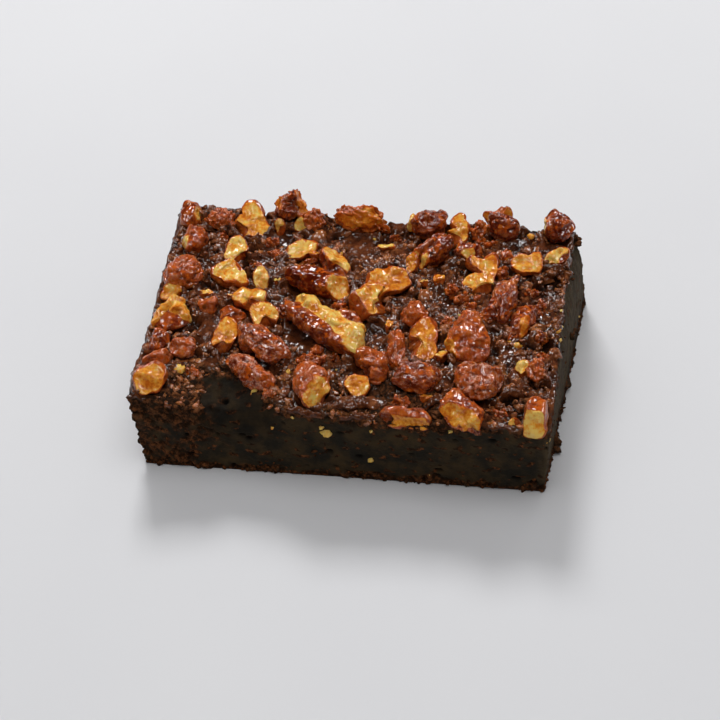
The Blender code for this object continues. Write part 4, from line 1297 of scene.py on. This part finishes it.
class BrownieBody:
    """The cake itself: cut sides, a baked underside and the crusty top, as one closed skin."""

    CELLS = (228, 148, 42)
    LENGTH, DEPTH = 103.0, 67.0
    RAGGED_BAND = 3.2
    PIT_SPACING = 3.4
    PIT_DEPTH = 0.95
    FLAT_SPOTS = np.array([1.7, 1.7, 1.0])
    FLAT_SPECKS = np.array([1.6, 1.6, 1.0])
    LONG_STREAKS = np.array([6.0, 6.0, 1.0])
    LEAST_HEIGHT = 0.02
    WORN = 1.3
    WIPED_EDGE = 4.5
    # Painted shade: how dark the wiped corner and the wall under it are made, so that the upward-facing
    # corner, which gets more light, matches the wall.
    WIPED_SHADE = 0.47

    def __init__(self, form: SliceForm, top: Top) -> None:
        """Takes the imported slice's form and its top."""
        self.form, self.top = form, top

    def build(self, material: bpy.types.Material) -> bpy.types.Object:
        """Lays the lattice box's skin over the block, then moves it by the crust's and crumb's relief."""
        lattice, quads = box_skin(self.CELLS)
        across, deep, up = (lattice[:, axis] / self.CELLS[axis] for axis in range(3))
        plan = self.form.plan(across, deep, up)
        packed = self.top.packed(plan)
        crust_height, hollow, wet, grain = self.top.relief(plan, packed)
        dragged = self.top.dragged(plan, packed)
        sunk = self.top.slumped(plan, packed)
        broken = sunk * (1 - dragged)
        sideways, endways = np.minimum(across, 1 - across), np.minimum(deep, 1 - deep)
        inset = np.minimum(sideways * self.LENGTH, endways * self.DEPTH)
        laid = np.column_stack([plan, packed])
        grit = packed_grains(laid, 1.7, 34) + 0.6 * noise(laid, 1.0, 35)
        crust_height = crust_height * (1 - self.top.SUNK_EVEN * sunk)
        lift = (crust_height + 0.8 * grit * broken) * ramp(inset, -2.4, 1.2)
        points = np.column_stack([plan, up * packed + ramp(up, 0.8, 1.0) * lift])
        worn = ramp(across, 0.965, 1.0) * ramp(up, 0.6, 1.0) * ramp(deep, 0.05, 0.7)
        points[:, 0] -= self.WORN * worn * (1 + 0.8 * noise(points, 5.0, 28))
        roof, foot = up == 1, up == 0
        points = self._rounded(points, deep, up, packed, dragged)
        depth, rust, pit, roughness = self._crumb(points, across, deep, up, dragged)
        shift = np.where(roof, depth * ramp(dragged, 0.0, 0.6), np.where(foot, 0.0, depth))
        points = points + normals(points, quads) * shift[:, None]
        points[:, 2] = np.where(foot, 0.0, np.maximum(points[:, 2], self.LEAST_HEIGHT))
        rust = np.where(roof, np.maximum(rust * dragged, 1.3 * broken), rust)
        # Painted shade: the top is darkened in its hollows, crevices and torn patches (the hollow value is
        # the top's painted shade) and on the wiped corner; the walls are darkened in the crumb's holes and
        # under the wiped corner.
        roof_shade = hollow * (1 - sunk) * 0.8 + np.maximum(pit, self.WIPED_SHADE) * dragged
        wall_shade = np.maximum(pit, self.WIPED_SHADE * dragged * ramp(up, 0.4, 1.0))
        # Painted sheen and light: the right wall, lit more and reflecting the table, is lightened along the
        # knife's streaks.
        right_wall_sheen = ramp(across, 0.97, 1.0) * ramp(points[:, 2], 2.5, 6.0)
        made = piece(
            "brownie_cake", points, quads, material, crust=np.where(roof, 1 - sunk, 0.0), rust=rust,
            wet=np.where(roof, wet * (1 - sunk), 0.0), pit=np.where(roof, roof_shade, wall_shade),
            smear=np.where(roof, 0.0, right_wall_sheen * (1 - 0.8 * rust)),
            relief=np.where(roof, grain * (1 - sunk) + roughness * sunk, roughness),
        )
        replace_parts(made, SLICE_NODE)
        return made

    def _rounded(
        self, points: np.ndarray, deep: np.ndarray, up: np.ndarray, packed: np.ndarray, dragged: np.ndarray
    ) -> np.ndarray:
        """Rounds the edge of the wiped corner over the front wall.

        Each half of a quarter circle takes up the same length of the roof or of the wall, by its angle.
        """
        run = np.where(up == 1, deep * self.DEPTH, 0.0)
        fall = (1 - up) * packed
        turn = math.pi / 4 * (1 + run / self.WIPED_EDGE - fall / self.WIPED_EDGE)
        near = (run < self.WIPED_EDGE) & (fall < self.WIPED_EDGE) & ((up == 1) | (deep == 0))
        share = near * ramp(dragged, 0.0, 0.5)
        inwards = (self.WIPED_EDGE * (1 - np.cos(turn)) - run) * share
        down = (self.WIPED_EDGE * (1 - np.sin(turn)) - fall) * share
        return points + np.column_stack([np.zeros(len(points)), inwards, -down])

    def _crumb(
        self, points: np.ndarray, across: np.ndarray, deep: np.ndarray, up: np.ndarray, dragged: np.ndarray
    ) -> tuple[np.ndarray, ...]:
        """The cut crumb's relief: a knife-wiped face with small holes, and loose crumb at ends and low down.

        Returns:
            How far the skin moves out, how rusty it is, how deep in a hole it is, and its fine relief.
        """
        streaks = noise(points / self.LONG_STREAKS, 0.9, 21)
        waves = noise(points, 16.0, 20)
        band = ramp(points[:, 2] + 1.6 * noise(points, 5.0, 22), self.RAGGED_BAND, self.RAGGED_BAND - 2.2)
        left = ramp(across + 0.09 * noise(points, 8.0, 23) + 0.09 * noise(points, 2.6, 29), 0.32, 0.0)
        back = ramp(deep, 0.97, 1.0)
        left *= 0.55 + 0.45 * ramp(noise(points, 9.0, 36), -0.3, 0.3)
        brim = ramp(up + 0.08 * noise(points, 3.0, 27), 0.86, 0.97) * (1 - 0.9 * ramp(dragged, 0.1, 0.9))
        loose = np.maximum.reduce([band, left, back * 0.4, brim])
        grain = fractal(points, 1.5, 3, 24)
        nearest, own = cells(points / self.FLAT_SPOTS, self.PIT_SPACING, 25)
        size = 0.10 + 0.16 * own
        holes = ramp(nearest, size, size * 0.45) * (own > 0.3)
        clods = packed_grains(points + swirl(points, 1.6, 31) * 0.5, 1.8, 32) - 0.4
        rough = loose * (0.6 * grain + 0.6 * clods)
        depth = 0.25 * waves + 0.07 * streaks + rough + 0.12 * grain - self.PIT_DEPTH * holes
        specks = ramp(noise(points / self.FLAT_SPECKS, 1.5, 26), 0.3, 0.46)
        rust = np.clip(loose + 0.06 + 0.9 * specks, 0, 1)
        return depth, rust, holes, np.clip(grain, -1, 1)


@dataclass(frozen=True)
class Flake:
    """A strip of baked crust that has come loose.

    Attributes:
        start: its left end in plan, in mm from the slice's middle.
        end: its right end, likewise.
        width: how wide it is, in mm.
        lift: how far its middle is above the crust, in mm.
        lean: how much higher its back edge is than its front edge, in mm.
        seed: which unevenness.
    """

    start: tuple[float, float]
    end: tuple[float, float]
    width: float
    lift: float
    lean: float
    seed: int

    CELLS = (44, 14, 4)
    THICK = 1.1
    ABOVE = 0.3
    LUMPS = 0.22

    def build(self, top: Top, material: bpy.types.Material) -> bpy.types.Object:
        """Bends a slab: bowed up along its length, narrow at its ends, with torn edges and a lumpy face."""
        lattice, quads = box_skin(self.CELLS)
        along, side, thick = (lattice[:, axis] / self.CELLS[axis] for axis in range(3))
        start, end = (np.array(place) + top.form.middle[:2] for place in (self.start, self.end))
        way = end - start
        across = np.array([-way[1], way[0]]) / np.linalg.norm(way)
        bow = np.sin(math.pi * along)
        half = self.width / 2 * (0.25 + 0.75 * bow**0.6)
        middle = start + along[:, None] * way
        plan = middle + ((side * 2 - 1) * half)[:, None] * across
        spots = flattened(plan, self.seed * 9.0)
        edge = np.abs(side * 2 - 1)
        plan = plan + (swirl(spots, 2.0, self.seed)[:, :2] * 0.6) * (0.3 + edge)[:, None]
        ground = top.packed(middle) + self.ABOVE
        taper = 1 - edge**3
        slab = (thick - 0.5) * self.THICK * (0.35 + 0.65 * taper)
        height = ground + self.lift * bow + self.lean * (side - 0.5) + slab
        points = np.column_stack([plan, height + 0.45 * noise(spots, 2.2, self.seed + 5)])
        relief = noise(points, 1.2, self.seed + 6)
        points = points + normals(points, quads) * (self.LUMPS * relief)[:, None]
        made = piece(
            f"crust_flake_{self.seed}", points, quads, material, crust=1.0, rust=1.0, wet=0.5, pit=0.0,
            smear=0.0, relief=np.clip(relief, -1, 1),
        )
        return made


FLAKES = (
    Flake((-4.0, -31.6), (11.6, -27.6), 3.4, 1.2, 0.8, 1),
    Flake((1.0, -34.4), (9.6, -32.2), 1.9, 0.6, 0.2, 2),
    Flake((-12.0, -33.0), (-3.4, -34.2), 2.0, 0.5, 0.4, 3),
    Flake((20.6, -28.6), (25.4, -24.8), 2.2, 0.8, 0.4, 4),
    Flake((47.4, -20.0), (48.6, -10.0), 2.0, 0.6, -0.4, 5),
    Flake((-30.0, 31.6), (-20.0, 32.6), 2.6, 0.6, 0.5, 6),
)


# ---------------------------------------------------------------------------------------------------------
# Small things
# ---------------------------------------------------------------------------------------------------------


class Where(Enum):
    """Where small lumps lie: on the top, round the wiped corner, along the walls' feet or on the walls."""

    TOP = 1
    BRINK = 2
    FOOT = 3
    WALL = 4


@dataclass(frozen=True)
class Scatter:
    """Many small lumps joined in one mesh.

    Attributes:
        name: the piece's name.
        count: how many are tried.
        small: the least radius in mm.
        large: the greatest radius in mm.
        clear: how far from a nut's outline their middles stay, in mm.
        flat: how squashed they are, 1 for round.
        flesh: 1 for bare flesh and 0 for skin.
        tone: from dark to light.
        frost: how much of the sugar's film they have.
        seed: which scatter.
        where: the part of the slice that they lie on.
        spots: if any, the only places: shares from left to right, front to back and foot to top, and radii.
    """

    name: str
    count: int
    small: float
    large: float
    clear: float = 0.3
    flat: float = 0.8
    flesh: float = 0.0
    tone: float = 0.6
    frost: float = 0.2
    seed: int = 1
    where: Where = Where.TOP
    spots: tuple[tuple[float, float, float, float], ...] = ()

    CELLS_ACROSS = 3
    CELLS_ACROSS_SPOT = 8
    FACETS = 9
    FACET_DEPTHS = (0.45, 0.95)
    SHARPNESS = 14.0
    SUNK = 0.45
    MOSTLY_SMALL = 2.2
    TOP_INSET = 0.014
    SIDE_CHANCES = (0.32, 0.32, 0.18, 0.18)
    FOOT_SHARE = 0.12
    WALL_FROM, WALL_SPAN = 0.05, 0.9
    SIZE = 1.2

    def places(self, top: Top, rng: np.random.Generator) -> tuple[np.ndarray, np.ndarray]:
        """The lumps' middles and radii, in mm, on the part of the slice that they lie on."""
        form = top.form
        if self.spots:
            across, deep, up, radii = np.array(self.spots).T
            plan = form.plan(across, deep, up)
            return np.column_stack([plan, up * top.packed(plan)]), radii
        if self.where in (Where.FOOT, Where.WALL):
            return self._on_walls(top, rng)
        shares = self.TOP_INSET + (1 - 2 * self.TOP_INSET) * rng.random((self.count, 2))
        plan = form.plan(shares[:, 0], shares[:, 1], np.ones(self.count))
        radii = self._radii(rng)
        packed = top.packed(plan)
        dragged = top.dragged(plan, packed)
        sunk = top.slumped(plan, packed)
        if self.where is Where.BRINK:
            keep = (sunk > 0.1) & (dragged * (0.3 + rng.random(self.count)) < 0.25)
        else:
            keep = (sunk < 0.3) & (top.open_ground(plan) < 0.4)
        clumps = noise(flattened(plan), 6.0, self.seed + 300) > rng.random(self.count) * 0.8 - 0.65
        keep &= (top.nut_gap(plan) > self.clear + radii * 0.3) & clumps
        plan, radii, packed = plan[keep], radii[keep], packed[keep]
        height = packed + top.relief(plan, packed)[0] * (1 - top.SUNK_EVEN * sunk[keep])
        return np.column_stack([plan, height - radii * self.SUNK]), radii

    def _radii(self, rng: np.random.Generator) -> np.ndarray:
        """Random radii between the least and the greatest, by a power that makes most of them small."""
        return self.small + (self.large - self.small) * rng.random(self.count) ** self.MOSTLY_SMALL

    def _on_walls(self, top: Top, rng: np.random.Generator) -> tuple[np.ndarray, np.ndarray]:
        """Places all round the four walls: a random share along, and a height near the foot or anywhere."""
        along, side = rng.random(self.count), rng.choice(4, self.count, p=self.SIDE_CHANCES)
        across = np.choose(side, [along, along, np.zeros(self.count), np.ones(self.count)])
        deep = np.choose(side, [np.zeros(self.count), np.ones(self.count), along, along])
        up = rng.random(self.count)
        low = self.where is Where.FOOT
        up = up**2.5 * self.FOOT_SHARE if low else self.WALL_FROM + self.WALL_SPAN * up
        radii = self._radii(rng)
        plan = top.form.plan(across, deep, up)
        heights = np.maximum(up * top.packed(plan), radii * 0.7)
        inwards = top.form.middle[:2] - plan
        inwards /= np.linalg.norm(inwards, axis=1, keepdims=True)
        places = np.column_stack([plan + inwards * (radii * self.SUNK)[:, None], heights])
        clumps = noise(places, 5.0, self.seed + 300) > rng.random(self.count) * 0.9 - 0.5
        return places[clumps], radii[clumps]

    def build(self, top: Top, material: bpy.types.Material) -> bpy.types.Object:
        """Builds the lumps where they lie."""
        rng = np.random.default_rng(self.seed)
        places, radii = self.places(top, rng)
        return self.lumps(places, radii, rng, material)

    def lumps(
        self, places: np.ndarray, radii: np.ndarray, rng: np.random.Generator, material: bpy.types.Material
    ) -> bpy.types.Object:
        """Joins one broken lump at each place into a mesh.

        Each is a ball's skin. Its reach along a ray is the smooth least of its distances to random planes.

        Args:
            places: N by 3, in mm.
            radii: N, in mm.
            rng: the source of their planes, turns and stretches.
            material: their finish.

        Returns:
            The mesh's object.
        """
        rays, quads = ball_skin(self.CELLS_ACROSS_SPOT if self.spots else self.CELLS_ACROSS)
        uneven, uneven_stretch = (0.3, 0.7) if self.spots else (0.45, 1.2)
        count = len(places)
        planes = rng.normal(size=(count, self.FACETS, 3))
        planes /= np.linalg.norm(planes, axis=-1, keepdims=True)
        depths = rng.uniform(*self.FACET_DEPTHS, (count, 1, self.FACETS))
        facing = np.maximum(np.einsum("pk,cfk->cpf", rays, planes), 0) / depths
        reach = (1 + (facing**self.SHARPNESS).sum(-1)) ** (-1 / self.SHARPNESS)
        away = (rays[None] * 1.6 + places[:, None] * 3.1).reshape(-1, 3)
        reach = reach * (1 + uneven * noise(away, 1.0, self.seed).reshape(count, -1))
        stretch = 1 + (rng.random((count, 1, 3)) - 0.5) * uneven_stretch
        shapes = (rays[None] * reach[..., None] * stretch) @ turns(rng, count)
        shapes[..., 2] *= self.flat
        points = places[:, None] + shapes * radii[:, None, None] * self.SIZE
        points[..., 2] = np.maximum(points[..., 2], 0.0)
        offset = (np.arange(count) * len(rays))[:, None, None]
        joined = (quads[None] + offset).reshape(-1, 4)
        tone = np.repeat(np.clip(self.tone + (rng.random(count) - 0.5) * 0.7, 0, 1), len(rays))
        # The lumps' height becomes their relief, which the finishes turn into painted light on top and
        # painted shade underneath.
        high = np.clip(shapes[..., 2].reshape(-1) * 0.9, -1, 1)
        baked = self.where is Where.TOP
        return piece(
            self.name, points.reshape(-1, 3), joined, material, flesh=self.flesh, relief=high,
            skin_tone=tone, flesh_tone=tone, frost=self.frost, crust=float(baked),
            rust=0.5 + tone * 0.8, wet=0.8 * baked, pit=0.0, smear=0.0,
        )


FLECK_SPOTS = (
    (0.472, 0.0, 0.72, 1.1), (0.464, 0.0, 0.8, 0.8), (0.575, 0.0, 0.34, 0.7), (0.342, 0.0, 0.77, 0.5),
    (0.768, 0.0, 0.93, 0.6), (0.396, 0.0, 0.93, 0.4), (0.582, 0.0, 0.84, 0.4), (0.99, 0.52, 0.99, 0.6),
    (0.989, 0.46, 0.98, 0.6), (0.982, 0.6, 1.0, 0.4),
)
CRUMB_SPOTS = (
    (0.99, 0.985, 0.98, 1.3), (0.999, 0.965, 0.96, 0.8), (1.0, 0.24, 0.06, 1.6), (1.01, 0.2, 0.04, 1.1),
    (1.0, 0.52, 0.1, 1.2), (1.0, 0.64, 0.5, 0.9), (1.0, 0.74, 0.3, 0.9), (0.0, 0.3, 0.5, 1.0),
    (0.0, 0.02, 0.3, 1.2), (0.01, 0.0, 0.72, 1.3), (0.0, 0.6, 0.2, 1.2), (0.3, 1.0, 0.1, 1.4),
    (0.62, 1.0, 0.06, 1.2), (0.16, 0.0, 0.03, 1.3),
)


def turns(rng: np.random.Generator, count: int) -> np.ndarray:
    """Random rotations, as count matrices: each from a random unit quaternion."""
    q = rng.normal(size=(count, 4))
    w, x, y, z = (q / np.linalg.norm(q, axis=1, keepdims=True)).T
    rows = [
        [1 - 2 * (y * y + z * z), 2 * (x * y - z * w), 2 * (x * z + y * w)],
        [2 * (x * y + z * w), 1 - 2 * (x * x + z * z), 2 * (y * z - x * w)],
        [2 * (x * z - y * w), 2 * (y * z + x * w), 1 - 2 * (x * x + y * y)],
    ]
    return np.array(rows).transpose(2, 0, 1)


# ---------------------------------------------------------------------------------------------------------
# The stage
# ---------------------------------------------------------------------------------------------------------


def aim(made: bpy.types.Object, x: np.ndarray, y: np.ndarray, z: np.ndarray, place: np.ndarray) -> None:
    """Moves a camera or light to a place in metres, and turns it so that its axes are x, y and z."""
    matrix = np.eye(4)
    matrix[:3] = np.column_stack([x, y, z, place])
    made.matrix_world = Matrix(matrix.tolist())


@dataclass(frozen=True)
class Studio:
    """A pale table, soft light and the camera. Places are in metres and powers in watts."""

    azimuth: float = 14.0
    elevation: float = 46.3
    roll: float = -5.8
    distance: float = 0.645
    lens: float = 125.0
    target: tuple[float, float, float] = (-0.0026, 0.0062, 0.0)
    floor_size: float = 3.0

    FLOOR_CELLS = 8
    SENSOR = 36.0
    NEAREST = 0.01
    ROOM_GLOW = 0.25
    GLINT_SIZE = 0.26
    GLINTS = {
        "back_left": (-0.5, 0.75, 0.75, 5.0),
        "back_right": (0.35, 0.85, 0.8, 5.0),
        "left": (-0.85, 0.1, 0.75, 3.4),
        "right": (0.85, 0.25, 0.75, 3.4),
        "front_left": (-0.35, -0.1, 1.15, 2.6),
        "front_right": (0.35, -0.25, 1.1, 2.6),
    }

    def floor(self) -> None:
        """A flat sheet just under the slice: a plane of two parameters, with few cells."""
        steps = np.linspace(-0.5, 0.5, self.FLOOR_CELLS + 1)
        u, v = np.meshgrid(steps, steps, indexing="ij")
        points = flattened(np.stack([u, v], axis=-1).reshape(-1, 2)) * self.floor_size
        quads = grid_quads(np.arange(u.size).reshape(u.shape))
        mesh = bpy.data.meshes.new("table")
        mesh.from_pydata(points, [], quads)
        mesh.materials.append(FloorFinish().material())
        shown("table", mesh)

    def camera(self) -> None:
        """Looks at the slice from the front, a little from the right, with the camera rolled."""
        turn, tilt, roll = (math.radians(angle) for angle in (self.azimuth, self.elevation, self.roll))
        back = np.array([math.sin(turn) * math.cos(tilt), -math.cos(turn) * math.cos(tilt), math.sin(tilt)])
        right = np.cross(-back, [0, 0, 1])
        right /= np.linalg.norm(right)
        up = np.cross(right, -back)
        x = math.cos(roll) * right + math.sin(roll) * up
        y = -math.sin(roll) * right + math.cos(roll) * up
        place = np.array(self.target) + back * self.distance
        data = bpy.data.cameras.new("camera")
        data.lens, data.sensor_width, data.clip_start = self.lens, self.SENSOR, self.NEAREST
        made = shown("camera", data)
        aim(made, x, y, back, place)
        bpy.context.scene.camera = made

    def light(
        self, name: str, place: tuple[float, float, float], size: float, watts: float, mirrored: bool = True,
        lighting: bool = True,
    ) -> None:
        """A square soft light that looks at the slice.

        Args:
            name: its name.
            place: its middle.
            size: its side.
            watts: its power.
            mirrored: whether it gives highlights.
            lighting: whether it gives light.
        """
        data = bpy.data.lights.new(name, "AREA")
        data.size, data.energy = size, watts
        made = shown(name, data)
        way = np.array(place, float)
        back = way / np.linalg.norm(way)
        right = np.cross([0, 0, 1], back)
        right /= np.linalg.norm(right)
        aim(made, right, np.cross(back, right), back, way)
        made.visible_glossy, made.visible_diffuse = mirrored, lighting

    def build(self) -> None:
        """Sets the whole stage."""
        self.floor()
        self.camera()
        self.light("window", (-0.25, 0.8, 0.8), 0.3, 8.4, mirrored=False)
        self.light("ceiling", (0.2, -0.1, 1.6), 1.2, 10.0, mirrored=False)
        for name, (*place, watts) in self.GLINTS.items():
            self.light(f"glint_{name}", tuple(place), self.GLINT_SIZE, watts, lighting=False)
        world = bpy.data.worlds.new("room")
        world.use_nodes = True
        glow = world.node_tree.nodes["Background"]
        glow.inputs["Color"].default_value = (1.0, 1.0, 1.0, 1.0)
        glow.inputs["Strength"].default_value = self.ROOM_GLOW
        world.cycles_visibility.glossy = False
        bpy.context.scene.world = world
        bpy.context.scene.view_settings.view_transform = "Standard"


def lay_nuts(top: Top, nut: bpy.types.Material) -> None:
    """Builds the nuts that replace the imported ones, then the larger bits between them."""
    for seed, (node, nut_form) in enumerate(sorted(nut_forms().items()), start=1):
        low, high = (np.array(corner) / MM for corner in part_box(node))
        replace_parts(Pecan(node + "_nut", low, high, nut_form, top, seed).build(nut), node)
    for seed, small in enumerate(small_bits(), start=1):
        low, high = small.box(top)
        Pecan(f"nut_bit_{seed:02d}", low, high, small.form, top, seed + BIT_SEEDS).build(nut)


def scatter_all(top: Top, cake: bpy.types.Material, nut: bpy.types.Material) -> None:
    """Builds every kind of small thing that is scattered, each as one piece with its finish."""
    rubble = NutFinish(
        skin_dark_and_valley_shade=linear(40, 18, 8), skin_red=linear(92, 42, 18), skin_brown=linear(146, 82, 42),
        skin_pale_and_crest_light=linear(192, 128, 84), skin_amber=linear(176, 106, 50), name="glazed_rubble",
    ).material()
    kinds = (
        (Scatter("nut_pieces", 1100, 0.7, 1.9, -0.3, 0.65, 0.0, 0.5, 0.15, 3), rubble, "pecan_skin"),
        (Scatter("nut_granules", 2600, 0.3, 0.9, -0.4, 0.7, 0.0, 0.55, 0.2, 13), rubble, "pecan_skin"),
        (Scatter("flesh_flakes", 90, 0.4, 1.1, -0.2, 0.7, 1.0, 0.8, 0.0, 4), nut, "pecan_flesh"),
        (Scatter("crust_crumbs", 2200, 0.4, 1.3, -0.4, 0.8, 0.0, 0.4, 0.0, 5), cake, "chocolate_crust"),
        (Scatter("loose_crumbs", 9000, 0.25, 1.2, -0.4, 0.8, 0.0, 0.75, 0.0, 6, where=Where.BRINK), cake,
         "chocolate_crumb"),
        (Scatter("brink_granules", 9000, 0.3, 1.3, -0.2, 0.8, 0.0, 0.75, 0.5, 12, where=Where.BRINK), rubble,
         "pecan_skin"),
        (Scatter("foot_crumbs", 1500, 0.25, 0.9, 0.0, 0.8, 0.0, 0.4, 0.0, 7, where=Where.FOOT), cake,
         "chocolate_crumb"),
        (Scatter("wall_crumbs", 420, 0.15, 0.6, 0.0, 0.8, 0.0, 0.5, 0.0, 8, where=Where.WALL), cake,
         "chocolate_crumb"),
        (Scatter("wall_flecks", 16, 0.3, 0.7, 0.0, 0.8, 1.0, 0.3, 0.0, 9, where=Where.WALL), nut,
         "pecan_flesh"),
        (Scatter("front_flecks", 0, 0, 0, flesh=1.0, tone=0.1, seed=10, where=Where.WALL,
                 spots=FLECK_SPOTS), nut, "pecan_flesh"),
        (Scatter("outer_crumbs", 0, 0, 0, tone=0.4, seed=11, where=Where.WALL,
                 spots=CRUMB_SPOTS), cake, "chocolate_crumb"),
    )
    for scatter, finish, slot in kinds:
        scatter.build(top, finish)


def main() -> None:
    """Builds the slice, its nuts, the small things and the stage, in that order."""
    logging.basicConfig(level=logging.INFO, format="%(name)s: %(message)s")
    cake, nut = CakeFinish().material(), NutFinish().material()
    form = SliceForm()
    top = Top(form)
    BrownieBody(form, top).build(cake)
    lay_nuts(top, nut)
    scatter_all(top, cake, nut)
    for flake in FLAKES:
        flake.build(top, cake)
    Studio().build()


if __name__ == "__main__":
    main()
